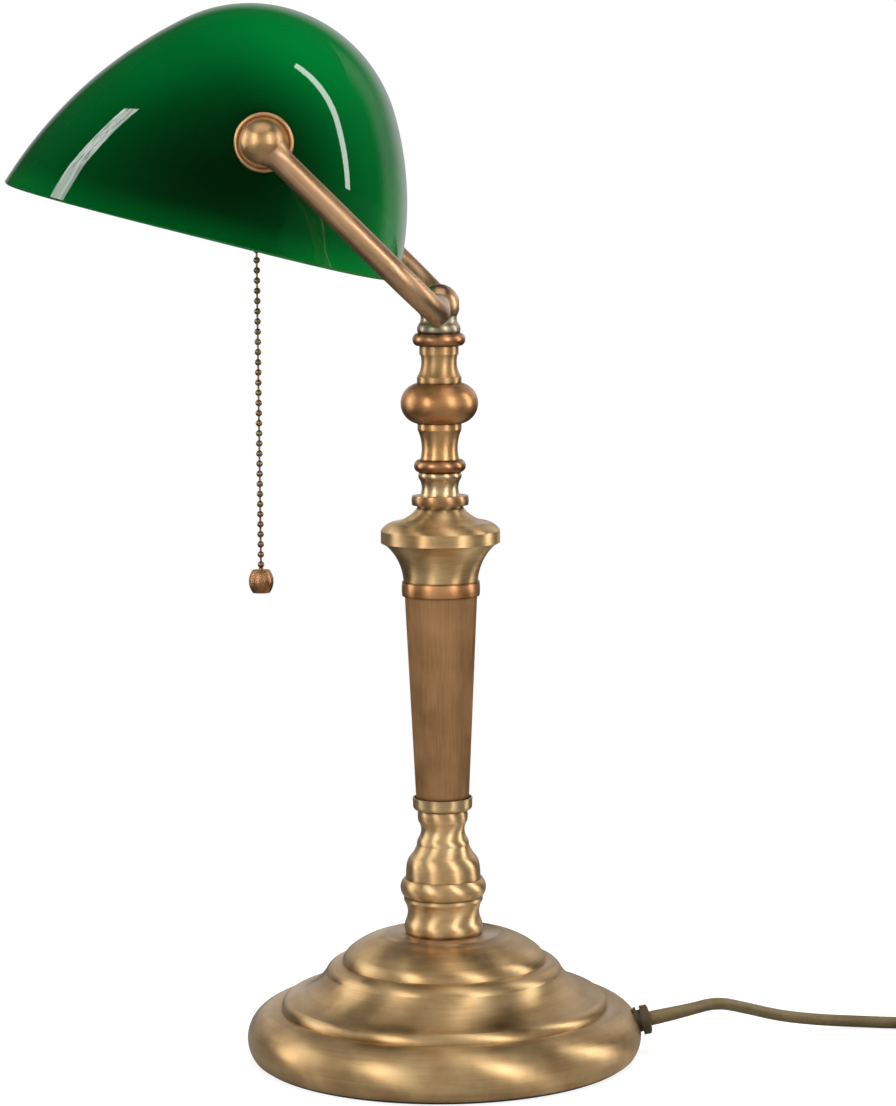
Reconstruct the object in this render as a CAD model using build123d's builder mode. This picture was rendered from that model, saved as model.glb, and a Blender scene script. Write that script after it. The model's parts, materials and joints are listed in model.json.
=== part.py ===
"""Table lamp: turned brass stem, tilting yoke, green glass shade, pull chain and mains cord.

Millimetres, +Z up. The origin is the centre of the base on the table. The shade leans out
towards -X, its long axis is along Y, and the cord leaves the base towards +X.
"""
import os
from math import cos, pi, radians, sin, sqrt, tan

from build123d import *

os.makedirs("parts", exist_ok=True)

# Fits
overrun = 1.0
rod_clearance = 0.05
running_clearance = 0.06
seat_clearance = 0.05
loose_clearance = 0.3

# Base: felt, shell and what is in it
felt_radius = 77.6
felt_thickness = 1.2
plate_radius = 74.5
plate_thickness = 1.0
shell_wall = 3.0
base_height = 51.2
lip_ring_radius = 69.2
lip_tube_radius = 12.4
lip_centre_height = 8.3
lip_inner_radius = 67.3
bead_radius = 65.1
bead_height = 24.7
bead_bulge = 0.7
cove_bulge = 2.0
ridge_radius = 49.0
ridge_height = 35.3
ridge_bulge = 1.5
groove_radius = 42.0
groove_height = 39.3
dome_edge_radius = 39.6
dome_edge_height = 43.9
dome_edge_bulge = 0.5
dome_bulge = 1.2
step_radius = 24.4
step_drop = 0.7
step_width = 1.2
weight_radius = 55.0
weight_bottom = 8.5
weight_top = 20.4
weight_boss_radius = 19.0
pocket_radius = 16.0
pocket_top = 22.0

# Threaded rod through the stem, with its nut and washer
rod_radius = 5.0
rod_bore_radius = 3.5
rod_bottom = 14.0
rod_engagement = 5.4
rod_washer_radius = 12.0
rod_washer_thickness = 1.5
rod_nut_across_flats = 17.0
rod_nut_height = 5.5

# Turned pieces of the stem, from the base up
foot_height = 15.5
foot_bottom_radius = 15.5
foot_waist_radius = 15.6
foot_lip_radius = 16.3
foot_bead_height = 5.4
foot_lip_height = 1.7
foot_bead_bulge = 0.65
foot_waist_bulge = 1.1

vase_height = 36.0
vase_ring_radius = 16.2
vase_ring_height = 7.4
vase_ring_bulge = 1.5
vase_shoulder_radius = 15.45
vase_belly_radius = 15.1
vase_belly_height = 12.9
vase_belly_bulge = 0.1
vase_flank_radius = 13.6
vase_flank_height = 16.6
vase_flank_bulge = 0.25
vase_throat_radius = 10.75
vase_throat_height = 21.4
vase_throat_bulge = 0.3
vase_swell_radius = 10.1
vase_swell_height = 24.1
vase_swell_bulge = 0.2
vase_waist_radius = 8.95
vase_waist_height = 27.8
vase_waist_bulge = 0.27
vase_band_radius = 10.1
vase_band_height = 4.6
vase_flare_bulge = 0.25
vase_band_bulge = 0.25

cup_height = 5.2
cup_bottom_radius = 10.9
cup_side_radius = 12.2
cup_rim_radius = 12.35
cup_rim_wall = 0.55
cup_side_height = 1.5
cup_floor = 1.5
cup_bulge = 0.3

column_height = 87.4
column_bottom_radius = 10.75
column_top_radius = 14.85
column_wall = 2.0

collar_height = 5.8
collar_radius = 15.85
collar_bulge = 0.2

capital_height = 30.2
capital_bottom_radius = 15.3
capital_bell_radius = 22.4
capital_bell_height = 15.0
capital_band_radius = 24.4
capital_band_bottom = 16.0
capital_band_height = 4.9
capital_shoulder_radius = 19.7
capital_shoulder_height = 24.4
capital_top_radius = 9.5
capital_bell_bulge = 1.7
capital_shoulder_bulge = 0.6
capital_cone_bulge = 1.25

lower_neck_height = 14.7
lower_neck_foot_radius = 9.5
lower_neck_foot_height = 1.2
disc_radius = 11.45
disc_height = 3.8
disc_bulge = 0.25
lower_neck_cove_radius = 8.3
lower_neck_cove_bulge = 0.8
lower_neck_bead_height = 3.1
lower_neck_bead_bulge = 0.6

lower_ring_height = 5.0
lower_ring_radius = 9.0
lower_ring_bulge = 1.6

middle_neck_height = 14.8
middle_neck_bottom_radius = 8.0
middle_neck_top_radius = 9.0
middle_neck_band_height = 2.5
middle_neck_bulge = 1.1

stem_ball_height = 16.4
stem_ball_end_radius = 9.4
stem_ball_bulge = 6.4

upper_neck_height = 15.2
upper_neck_bottom_radius = 9.1
upper_neck_bottom_band = 2.4
upper_neck_waist_radius = 7.6
upper_neck_top_radius = 8.0
upper_neck_top_band = 3.6
upper_neck_bulge = 1.0

upper_ring_height = 5.0
upper_ring_radius = 9.2
upper_ring_bulge = 1.6

knuckle_foot_radius = 8.5
knuckle_bead_height = 4.0
knuckle_bead_bulge = 0.6
knuckle_neck_radius = 8.0
knuckle_neck_bulge = 0.35
knuckle_centre_height = 11.4
knuckle_ball_radius = 8.6
knuckle_ball_start_height = 7.2
knuckle_wire_radius = 2.8
grub_radius = 1.9
grub_socket_radius = 1.0
grub_socket_depth = 2.0
grub_inset = 0.45

# Yoke: two bent tubes with a ball on each end
arm_reach = 90.0
arm_angle = 45.0
arm_radius = 4.7
arm_bore_radius = 3.4
arm_bend_radius = 26.0
arm_gap = 4.4
arm_end_gap = 4.6
yoke_half_width = 122.0
sleeve_length = 36.0
sleeve_bore_radius = 2.3
arm_lead_radius = 2.0
end_ball_radius = 8.2
end_boss_radius = 5.8
end_boss_reach = 9.4
nipple_radius = 4.0
nipple_bore_radius = 2.5
nipple_ball_depth = 2.4

# What is threaded on each pivot nipple, from the ball inwards
rosette_radius = 10.9
rosette_thickness = 1.6
rosette_rim_width = 1.6
rosette_rim_height = 0.8
rosette_rim_bulge = 0.4
rosette_dish_bulge = 0.25
gasket_radius = 9.6
gasket_thickness = 0.8
bush_flange_radius = 9.0
bush_flange_thickness = 1.2
bush_collar_radius = 5.4
pivot_washer_radius = 8.6
pivot_washer_thickness = 1.2
pivot_nut_across_flats = 13.0
pivot_nut_height = 4.5
nipple_tail = 1.2

# Glass shade: section across the long axis, measured from the pivot
shade_lean = 14.5
glass_thickness = 3.6
rim_to_pivot_depth = 1.125 * arm_reach
rim_below_pivot = 0.4422 * arm_reach
front_arc_radius = 1.953 * arm_reach
top_arc_radius = 0.6494 * arm_reach
front_rim_angle = 71.8
front_top_angle = 39.6
back_top_angle = 59.9
back_rim_angle = 89.8
skirt_length = 160.0
shade_end_share = 0.22
shade_roundness = 2.8
shade_section_angles = (0, 6, 14, 24, 36, 49, 62, 73)

# Lamp holder on the far nipple, bulb and pull switch
holder_cap_radius = 20.6
holder_cap_neck_radius = 9.5
holder_cap_length = 15.0
holder_cap_skirt = 6.5
holder_cap_bulge = 1.2
holder_cap_wall = 1.0
holder_shell_radius = 19.4
holder_shell_wall = 0.8
holder_shell_length = 48.0
holder_overlap = 5.0
mouth_bead_radius = 20.4
mouth_bead_length = 3.0
switch_block_length = 7.0
insert_length = 39.0
insert_bore_radius = 13.5
insert_bore_depth = 27.0
bulb_base_radius = 13.0
bulb_base_length = 25.0
bulb_neck_radius = 12.4
bulb_radius = 27.5
bulb_length = 76.0
bulb_neck_bulge = 2.6
bulb_wall = 0.9
guide_forward = 14.5
guide_inset = 44.0
guide_radius = 3.5
guide_bore_radius = 2.15
guide_top_drop = 9.0
guide_bottom_drop = 24.5
guide_mouth_radius = 4.6
guide_mouth_height = 2.0
plunger_radius = 2.07
plunger_top_drop = 12.0
plunger_neck_radius = 0.9
chain_hinge_drop = 29.5
chain_eye_radius = 1.8
eye_pin_radius = 0.7
eye_pin_length = 4.8
bead_pitch = 4.38
chain_bead_radius = 1.45
chain_link_radius = 0.45
chain_bead_count = 34
knob_radius = 5.35
knob_end_radius = 3.7
knob_height = 9.9
knob_collar_radius = 1.0
knob_collar_height = 1.0

# Cord: gland, free stretch, coil with its tie, tail and plug
cord_diameter = 5.0
gland_seat_angle = 21.5
gland_tilt = 12.0
gland_thread_radius = 4.2
gland_flange_radius = 5.9
gland_flange_thickness = 1.2
gland_groove_radius = 4.6
gland_groove_length = 1.5
gland_cap_radius = 6.1
gland_cap_length = 3.6
gland_dome = 0.7
gland_bore_clearance = 0.12
gland_thread_length = 7.4
gland_spot_depth = 1.5
gland_nut_across_flats = 10.5
gland_nut_height = 2.0
cord_first_run = 16.0
cord_route = [
    (113.5, 4.5, 19.5),
    (127.0, 14.5, 14.2),
    (142.0, 24.5, 8.2),
    (160.0, 33.5, 4.0),
    (176.5, 36.3, 2.5),
    (192.5, 33.0, 2.5),
]
cord_last_run = 18.5
route_arc_share = 0.45
coil_centre = (232.0, -8.0)
coil_inner_radius = 24.4
coil_outer_radius = 36.0
coil_layers = 4
coil_quarter_turns = 33
coil_gap = 0.5
coil_heading_share = 0.001
tie_thickness = 0.8
tie_width = 7.0
tie_gap = 0.7
tie_angle = 225.0
tail_first_run = 13.0
tail_route = [
    (268.8, -40.0, 15.6),
    (268.4, -54.0, 9.8),
    (268.0, -67.0, 6.85),
]
plug_rear = (268.0, -79.0, 6.85)
plug_width = 35.3
plug_thickness = 13.7
plug_body_length = 36.0
plug_rear_width_share = 0.36
plug_shoulder_share = 0.45
plug_edge_radius = 2.0
plug_collar_length = 13.0
plug_collar_radius = 4.9
plug_collar_tip_radius = 3.9
pin_radius = 2.0
pin_length = 19.0
pin_spacing = 18.6
pin_embed = 3.0
lead_floor = 5.0
lead_inner_bend = 8.0
lead_outer_bend = 20.0
lead_gland_run = 17.0
lead_landing = 55.0

# Places worked out from the sizes above
cord_radius = cord_diameter / 2
foot_z = base_height
vase_z = foot_z + foot_height
cup_z = vase_z + vase_height
column_z = cup_z + cup_floor
collar_z = column_z + column_height
capital_z = collar_z + collar_height
lower_neck_z = capital_z + capital_height
lower_ring_z = lower_neck_z + lower_neck_height
middle_neck_z = lower_ring_z + lower_ring_height
stem_ball_z = middle_neck_z + middle_neck_height
upper_neck_z = stem_ball_z + stem_ball_height
upper_ring_z = upper_neck_z + upper_neck_height
knuckle_z = upper_ring_z + upper_ring_height
yoke_z = knuckle_z + knuckle_centre_height
rod_top = knuckle_z + rod_engagement
rod_hole_radius = rod_radius + rod_clearance
arm_direction = Vector(-cos(radians(arm_angle)), 0, sin(radians(arm_angle)))
pivot = Vector(0, 0, yoke_z) + arm_direction * arm_reach
nipple_hole_radius = nipple_radius + seat_clearance

rosette_h = end_boss_reach
rosette_side_h = rosette_h + rosette_thickness - rosette_rim_height
gasket_h = rosette_h + rosette_thickness
glass_h = gasket_h + gasket_thickness
bush_h = glass_h + glass_thickness
pivot_washer_h = bush_h + bush_flange_thickness
pivot_nut_h = pivot_washer_h + pivot_washer_thickness
holder_h = pivot_nut_h + pivot_nut_height
holder_shell_h = holder_h + holder_cap_length - holder_overlap
switch_block_h = holder_h + holder_cap_length - holder_cap_skirt
insert_h = switch_block_h + switch_block_length
insert_end_h = insert_h + insert_length
bulb_base_h = insert_end_h - insert_bore_depth + loose_clearance
bulb_glass_h = bulb_base_h + bulb_base_length


def save(piece, label):
    """Label a finished piece and write it as its own file."""
    piece.part.label = label
    export_step(piece.part, f"parts/{label}.step")


def draw(points):
    """Join outline points (r, h) by lines; a third value is the bulge of an arc to that point."""
    for start, end in zip(points, points[1:]):
        first = Vector(*start[:2])
        last = Vector(*end[:2])
        if len(end) == 2:
            Line(first, last)
            continue
        along = last - first
        outward = Vector(along.Y, -along.X).normalized()
        ThreePointArc(first, (first + last) / 2 + outward * end[2], last)


def spun(plane, outline):
    """Turn an outline in the plane's (x, y) about the plane's own y axis."""
    with BuildPart() as piece:
        with BuildSketch(plane):
            with BuildLine():
                draw(outline + [outline[0][:2]])
            make_face()
        revolve(axis=Axis(plane.origin, plane.y_dir))
    return piece


def stem_plane(height):
    """Plane through the stem axis whose y is up and whose zero is at this height."""
    return Plane((0, 0, height), x_dir=(1, 0, 0), z_dir=(0, -1, 0))


def pivot_plane(side):
    """Plane through the shade's pivot axis; y runs from the end ball's centre inwards."""
    origin = Vector(pivot.X, side * yoke_half_width, pivot.Z)
    return Plane(origin, x_dir=(1, 0, 0), z_dir=(0, 0, -side))


def stem_piece(label, height, outline, length):
    """One turned piece of the stem, bored for the rod."""
    hole = [(rod_hole_radius, length), (rod_hole_radius, 0)]
    save(spun(stem_plane(height), outline + hole), label)


def ring(inner, outer, start, thickness):
    """Outline of a flat ring."""
    end = start + thickness
    return [(inner, start), (outer, start), (outer, end), (inner, end)]


def tube(line, radius, bore=0):
    """Round bar or tube along a line."""
    with BuildPart() as piece:
        with BuildSketch(Plane(line @ 0, z_dir=line % 0)):
            Circle(radius)
            if bore:
                Circle(bore, mode=Mode.SUBTRACT)
        sweep(path=line)
    return piece


# Base: felt pad, plate, weight and shell
save(spun(stem_plane(0), ring(0, felt_radius, 0, felt_thickness)), "felt_pad")
save(spun(stem_plane(0), ring(0, plate_radius, felt_thickness, plate_thickness)), "base_plate")

lip_top_inner = sqrt(lip_tube_radius**2 - (lip_ring_radius - lip_inner_radius) ** 2)
lip_below = lip_centre_height - felt_thickness
lip_foot_radius = lip_ring_radius + sqrt(lip_tube_radius**2 - lip_below**2)
hollow_tube_radius = lip_tube_radius - shell_wall
hollow_foot_radius = lip_ring_radius + sqrt(hollow_tube_radius**2 - lip_below**2)
cavity_top = base_height - shell_wall

gland_axis = Vector(cos(radians(gland_tilt)), 0, sin(radians(gland_tilt)))
gland_seat = Vector(
    lip_ring_radius + lip_tube_radius * cos(radians(gland_seat_angle)),
    0,
    lip_centre_height + lip_tube_radius * sin(radians(gland_seat_angle)),
)
gland_face = gland_seat - gland_axis * gland_spot_depth
gland_plane = Plane(gland_face, x_dir=(-gland_axis.Z, 0, gland_axis.X), z_dir=(0, 1, 0))
gland_cross = Plane(gland_face, x_dir=(0, 1, 0), z_dir=gland_axis)

with BuildPart() as base_shell:
    with BuildSketch(stem_plane(0)):
        with BuildLine():
            draw([
                (rod_hole_radius, base_height),
                (step_radius - step_width, base_height),
                (step_radius, base_height - step_drop),
            ][::-1])
            ThreePointArc(
                (lip_foot_radius, felt_thickness),
                (lip_ring_radius + lip_tube_radius, lip_centre_height),
                (lip_inner_radius, lip_centre_height + lip_top_inner),
            )
            draw([
                (lip_inner_radius, lip_centre_height + lip_top_inner),
                (bead_radius, bead_height, bead_bulge),
                (ridge_radius, ridge_height, -cove_bulge),
                (groove_radius, groove_height, ridge_bulge),
                (dome_edge_radius, dome_edge_height, dome_edge_bulge),
                (step_radius, base_height - step_drop, dome_bulge),
            ])
            draw([
                (rod_hole_radius, base_height),
                (rod_hole_radius, cavity_top),
                (step_radius - shell_wall, cavity_top),
                (dome_edge_radius - shell_wall, dome_edge_height - shell_wall),
                (groove_radius - shell_wall, groove_height - shell_wall),
                (ridge_radius - shell_wall, ridge_height - shell_wall),
                (bead_radius - shell_wall, bead_height - shell_wall),
                (lip_ring_radius, lip_centre_height + hollow_tube_radius),
            ])
            ThreePointArc(
                (lip_ring_radius, lip_centre_height + hollow_tube_radius),
                (lip_ring_radius + hollow_tube_radius, lip_centre_height),
                (hollow_foot_radius, felt_thickness),
            )
            Line((hollow_foot_radius, felt_thickness), (lip_foot_radius, felt_thickness))
        make_face()
    revolve(axis=Axis.Z)
    with BuildSketch(gland_cross):
        Circle(gland_flange_radius + seat_clearance)
    extrude(amount=lip_tube_radius, mode=Mode.SUBTRACT)
    with BuildSketch(gland_cross):
        Circle(gland_thread_radius + seat_clearance)
    extrude(amount=-lip_tube_radius, mode=Mode.SUBTRACT)
save(base_shell, "base_shell")

save(spun(stem_plane(0), [
    (pocket_radius, weight_bottom),
    (weight_radius, weight_bottom),
    (weight_radius, weight_top),
    (weight_boss_radius, weight_top),
    (weight_boss_radius, cavity_top),
    (rod_hole_radius, cavity_top),
    (rod_hole_radius, pocket_top),
    (pocket_radius, pocket_top),
]), "base_weight")

# Rod, washer and nut that clamp the base and the stem together
save(
    spun(stem_plane(0), ring(rod_bore_radius, rod_radius, rod_bottom, rod_top - rod_bottom)),
    "stem_rod",
)
rod_washer_z = pocket_top - rod_washer_thickness
save(
    spun(stem_plane(0), ring(rod_hole_radius, rod_washer_radius, rod_washer_z, rod_washer_thickness)),
    "rod_washer",
)
with BuildPart() as rod_nut:
    with BuildSketch(Plane.XY.offset(rod_washer_z - rod_nut_height)):
        RegularPolygon(rod_nut_across_flats / 2, 6, major_radius=False)
        Circle(rod_hole_radius, mode=Mode.SUBTRACT)
    extrude(amount=rod_nut_height)
save(rod_nut, "rod_nut")

# Gland in the lip, with its nut
gland_bore_radius = cord_radius + gland_bore_clearance
gland_groove_h = gland_flange_thickness + gland_groove_length
gland_length = gland_groove_h + gland_cap_length
save(spun(gland_plane, [
    (gland_bore_radius, -gland_thread_length),
    (gland_thread_radius, -gland_thread_length),
    (gland_thread_radius, 0),
    (gland_flange_radius, 0),
    (gland_flange_radius, gland_flange_thickness),
    (gland_groove_radius, gland_flange_thickness),
    (gland_groove_radius, gland_groove_h),
    (gland_cap_radius, gland_groove_h),
    (gland_cap_radius, gland_length - gland_dome),
    (gland_bore_radius, gland_length, gland_dome / 2),
]), "cord_gland")
with BuildPart() as gland_nut:
    with BuildSketch(gland_cross.offset(-gland_thread_length)):
        RegularPolygon(gland_nut_across_flats / 2, 6, major_radius=False)
        Circle(gland_thread_radius + seat_clearance, mode=Mode.SUBTRACT)
    extrude(amount=gland_nut_height)
save(gland_nut, "gland_nut")

# Stem, from the base up
stem_piece("stem_foot", foot_z, [
    (foot_bottom_radius, 0),
    (foot_waist_radius, foot_bead_height, foot_bead_bulge),
    (foot_lip_radius, foot_height - foot_lip_height, -foot_waist_bulge),
    (foot_lip_radius, foot_height),
], foot_height)
stem_piece("stem_vase", vase_z, [
    (vase_ring_radius, 0),
    (vase_ring_radius, vase_ring_height, vase_ring_bulge),
    (vase_shoulder_radius, vase_ring_height),
    (vase_belly_radius, vase_belly_height, vase_belly_bulge),
    (vase_flank_radius, vase_flank_height, vase_flank_bulge),
    (vase_throat_radius, vase_throat_height, -vase_throat_bulge),
    (vase_swell_radius, vase_swell_height, vase_swell_bulge),
    (vase_waist_radius, vase_waist_height, -vase_waist_bulge),
    (vase_band_radius, vase_height - vase_band_height, -vase_flare_bulge),
    (vase_band_radius, vase_height, vase_band_bulge),
], vase_height)
cup_recess_radius = column_bottom_radius + seat_clearance
save(spun(stem_plane(cup_z), [
    (rod_hole_radius, 0),
    (cup_bottom_radius, 0),
    (cup_side_radius, cup_side_height, cup_bulge),
    (cup_rim_radius, cup_height),
    (cup_rim_radius - cup_rim_wall, cup_height),
    (cup_recess_radius, cup_floor),
    (rod_hole_radius, cup_floor),
]), "column_cup")
save(spun(stem_plane(column_z), [
    (column_bottom_radius - column_wall, 0),
    (column_bottom_radius, 0),
    (column_top_radius, column_height),
    (column_top_radius - column_wall, column_height),
]), "column")
stem_piece("collar_ring", collar_z, [
    (collar_radius, 0),
    (collar_radius, collar_height, collar_bulge),
], collar_height)
stem_piece("capital", capital_z, [
    (capital_bottom_radius, 0),
    (capital_bell_radius, capital_bell_height, -capital_bell_bulge),
    (capital_band_radius, capital_band_bottom),
    (capital_band_radius, capital_band_bottom + capital_band_height),
    (capital_shoulder_radius, capital_shoulder_height, capital_shoulder_bulge),
    (capital_top_radius, capital_height, -capital_cone_bulge),
], capital_height)
disc_top = lower_neck_foot_height + disc_height
stem_piece("lower_neck", lower_neck_z, [
    (lower_neck_foot_radius, 0),
    (lower_neck_foot_radius, lower_neck_foot_height),
    (disc_radius, lower_neck_foot_height),
    (disc_radius, disc_top, disc_bulge),
    (lower_neck_cove_radius, disc_top),
    (lower_neck_cove_radius, lower_neck_height - lower_neck_bead_height, -lower_neck_cove_bulge),
    (lower_neck_cove_radius, lower_neck_height, lower_neck_bead_bulge),
], lower_neck_height)
stem_piece("lower_ring", lower_ring_z, [
    (lower_ring_radius, 0),
    (lower_ring_radius, lower_ring_height, lower_ring_bulge),
], lower_ring_height)
stem_piece("middle_neck", middle_neck_z, [
    (middle_neck_bottom_radius, 0),
    (middle_neck_top_radius, middle_neck_height - middle_neck_band_height, -middle_neck_bulge),
    (middle_neck_top_radius, middle_neck_height),
], middle_neck_height)
stem_piece("stem_ball", stem_ball_z, [
    (stem_ball_end_radius, 0),
    (stem_ball_end_radius, stem_ball_height, stem_ball_bulge),
], stem_ball_height)
upper_neck_step = upper_neck_height - upper_neck_top_band
stem_piece("upper_neck", upper_neck_z, [
    (upper_neck_bottom_radius, 0),
    (upper_neck_bottom_radius, upper_neck_bottom_band),
    (upper_neck_waist_radius, upper_neck_step, -upper_neck_bulge),
    (upper_neck_top_radius, upper_neck_step),
    (upper_neck_top_radius, upper_neck_height),
], upper_neck_height)
stem_piece("upper_ring", upper_ring_z, [
    (upper_ring_radius, 0),
    (upper_ring_radius, upper_ring_height, upper_ring_bulge),
], upper_ring_height)

# Knuckle: a neck and a ball, cross-bored for the yoke, with a grub screw at the back
ball_start_drop = knuckle_centre_height - knuckle_ball_start_height
ball_start_radius = sqrt(knuckle_ball_radius**2 - ball_start_drop**2)
knuckle_bore_radius = arm_radius + running_clearance
grub_tip = arm_bore_radius + running_clearance
grub_end = sqrt(knuckle_ball_radius**2 - grub_radius**2) - grub_inset
with BuildPart() as knuckle:
    with BuildSketch(stem_plane(knuckle_z)):
        with BuildLine():
            draw([
                (0, knuckle_centre_height + knuckle_ball_radius),
                (0, rod_engagement),
                (rod_hole_radius, rod_engagement),
                (rod_hole_radius, 0),
                (knuckle_foot_radius, 0),
                (knuckle_neck_radius, knuckle_bead_height, knuckle_bead_bulge),
                (ball_start_radius, knuckle_ball_start_height, -knuckle_neck_bulge),
            ])
            ThreePointArc(
                (ball_start_radius, knuckle_ball_start_height),
                (knuckle_ball_radius, knuckle_centre_height),
                (0, knuckle_centre_height + knuckle_ball_radius),
            )
        make_face()
    revolve(axis=Axis.Z)
    with BuildSketch(Plane((0, 0, yoke_z), z_dir=(0, 1, 0))):
        Circle(knuckle_bore_radius)
    extrude(amount=knuckle_ball_radius, both=True, mode=Mode.SUBTRACT)
    with BuildSketch(Plane((0, 0, rod_top))):
        Circle(knuckle_wire_radius)
    extrude(amount=yoke_z - rod_top, mode=Mode.SUBTRACT)
    with BuildSketch(Plane((0, 0, yoke_z), z_dir=(1, 0, 0))):
        Circle(grub_radius + seat_clearance)
    extrude(amount=knuckle_ball_radius, mode=Mode.SUBTRACT)
save(knuckle, "knuckle")
with BuildPart() as knuckle_screw:
    with BuildSketch(Plane((grub_tip, 0, yoke_z), z_dir=(1, 0, 0))):
        Circle(grub_radius)
    extrude(amount=grub_end - grub_tip)
    with BuildSketch(Plane((grub_end, 0, yoke_z), z_dir=(1, 0, 0))):
        RegularPolygon(grub_socket_radius, 6)
    extrude(amount=-grub_socket_depth, mode=Mode.SUBTRACT)
save(knuckle_screw, "knuckle_screw")

# Yoke: sleeve, arms, end balls and what holds the glass on each nipple
with BuildPart() as arm_sleeve:
    with BuildSketch(Plane((0, 0, yoke_z), z_dir=(0, 1, 0))):
        Circle(arm_bore_radius - seat_clearance)
        Circle(sleeve_bore_radius, mode=Mode.SUBTRACT)
    extrude(amount=sleeve_length / 2, both=True)
save(arm_sleeve, "arm_sleeve")


def arm_line(side, start, end_gap):
    """Centre line of one arm from near the knuckle's middle to short of the end ball's centre."""
    across = Vector(0, side, 0)
    plane = Plane((0, 0, yoke_z), x_dir=across, z_dir=across.cross(arm_direction))
    with BuildLine(plane) as line:
        FilletPolyline(
            (start, 0),
            (yoke_half_width, 0),
            (yoke_half_width, arm_reach - end_gap),
            radius=arm_bend_radius,
        )
    return line.wire()


sides = {"near": -1, "far": 1}
nipple_ends = {
    "near": pivot_nut_h + pivot_nut_height + nipple_tail,
    "far": holder_h + holder_cap_wall + nipple_tail,
}
for place, side in sides.items():
    save(tube(arm_line(side, arm_gap / 2, arm_end_gap), arm_radius, arm_bore_radius), f"arm_{place}")

    plane = pivot_plane(side)
    centre = plane.origin
    with BuildPart() as end_ball:
        with Locations(centre):
            Sphere(end_ball_radius)
        with BuildSketch(Plane(centre, z_dir=(0, -side, 0))):
            Circle(end_boss_radius)
        extrude(amount=end_boss_reach)
        with BuildSketch(Plane(centre - arm_direction * arm_end_gap, z_dir=-arm_direction)):
            Circle(arm_radius + seat_clearance)
        extrude(amount=end_ball_radius, mode=Mode.SUBTRACT)
        with BuildSketch(Plane(centre, z_dir=-arm_direction)):
            Circle(arm_lead_radius)
        extrude(amount=end_ball_radius, mode=Mode.SUBTRACT)
        with BuildSketch(Plane(centre + plane.y_dir * -nipple_ball_depth, z_dir=(0, -side, 0))):
            Circle(nipple_hole_radius)
        extrude(amount=end_boss_reach + nipple_ball_depth + overrun, mode=Mode.SUBTRACT)
    save(end_ball, f"end_ball_{place}")

    save(spun(plane, [
        (nipple_hole_radius, rosette_h),
        (rosette_radius - rosette_rim_width, rosette_h, -rosette_dish_bulge),
        (rosette_radius, rosette_side_h, rosette_rim_bulge + rosette_rim_height),
        (rosette_radius, rosette_h + rosette_thickness),
        (nipple_hole_radius, rosette_h + rosette_thickness),
    ]), f"rosette_{place}")
    save(spun(plane, ring(
        nipple_bore_radius, nipple_radius, -nipple_ball_depth, nipple_ends[place] + nipple_ball_depth
    )), f"pivot_nipple_{place}")
    turning_radius = nipple_radius + running_clearance
    gasket = ring(turning_radius, gasket_radius, gasket_h, gasket_thickness)
    save(spun(plane, gasket), f"shade_gasket_{place}")
    save(spun(plane, [
        (turning_radius, glass_h),
        (bush_collar_radius, glass_h),
        (bush_collar_radius, bush_h),
        (bush_flange_radius, bush_h),
        (bush_flange_radius, pivot_washer_h),
        (turning_radius, pivot_washer_h),
    ]), f"shade_bush_{place}")

with BuildPart() as pivot_washers:
    for side in sides.values():
        plane = pivot_plane(side)
        with BuildSketch(Plane(plane.origin, z_dir=plane.y_dir).offset(pivot_washer_h)):
            Circle(pivot_washer_radius)
            Circle(nipple_hole_radius, mode=Mode.SUBTRACT)
        extrude(amount=pivot_washer_thickness)
save(pivot_washers, "pivot_washers")
with BuildPart() as pivot_nuts:
    for side in sides.values():
        plane = pivot_plane(side)
        with BuildSketch(Plane(plane.origin, z_dir=plane.y_dir).offset(pivot_nut_h)):
            RegularPolygon(pivot_nut_across_flats / 2, 6, major_radius=False)
            Circle(nipple_hole_radius, mode=Mode.SUBTRACT)
        extrude(amount=pivot_nut_height)
save(pivot_nuts, "pivot_nuts")

# Glass shade: sections across the long axis, shrinking round the pivot towards each end
front_rise = front_arc_radius * (cos(radians(front_top_angle)) - cos(radians(front_rim_angle)))
top_fall = top_arc_radius * (cos(radians(front_top_angle)) - cos(radians(back_top_angle)))
back_drop_share = cos(radians(back_top_angle)) - cos(radians(back_rim_angle))
back_arc_radius = (front_rise - top_fall) / back_drop_share
shade_x = Vector(cos(radians(shade_lean)), 0, -sin(radians(shade_lean)))
shade_y = Vector(sin(radians(shade_lean)), 0, cos(radians(shade_lean)))


def heading(angle):
    """Unit direction at this angle above the rim plane."""
    return Vector(cos(radians(angle)), sin(radians(angle)))


def shade_section(distance, scale, inset):
    """One section of the shade, shrunk about the pivot."""
    plane = Plane((pivot.X, distance, pivot.Z), x_dir=shade_x, z_dir=(0, -1, 0))
    rise = heading(front_rim_angle)
    inward = Vector(rise.Y, -rise.X)
    rim = Vector(-rim_to_pivot_depth, -rim_below_pivot) + inward * inset
    with BuildSketch(plane) as section:
        with BuildLine():
            skirt = Line((rim - rise * skirt_length) * scale, rim * scale)
            front = JernArc(
                skirt @ 1,
                rise,
                (front_arc_radius - inset) * scale,
                front_top_angle - front_rim_angle,
            )
            crown = JernArc(
                front @ 1,
                front % 1,
                (top_arc_radius - inset) * scale,
                -back_top_angle - front_top_angle,
            )
            back = JernArc(
                crown @ 1,
                crown % 1,
                (back_arc_radius - inset) * scale,
                back_top_angle - back_rim_angle,
            )
            tail = Line(back @ 1, back @ 1 + (back % 1) * (skirt_length * scale))
            Line(tail @ 1, skirt @ 0)
        make_face()
    return section.sketch


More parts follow.
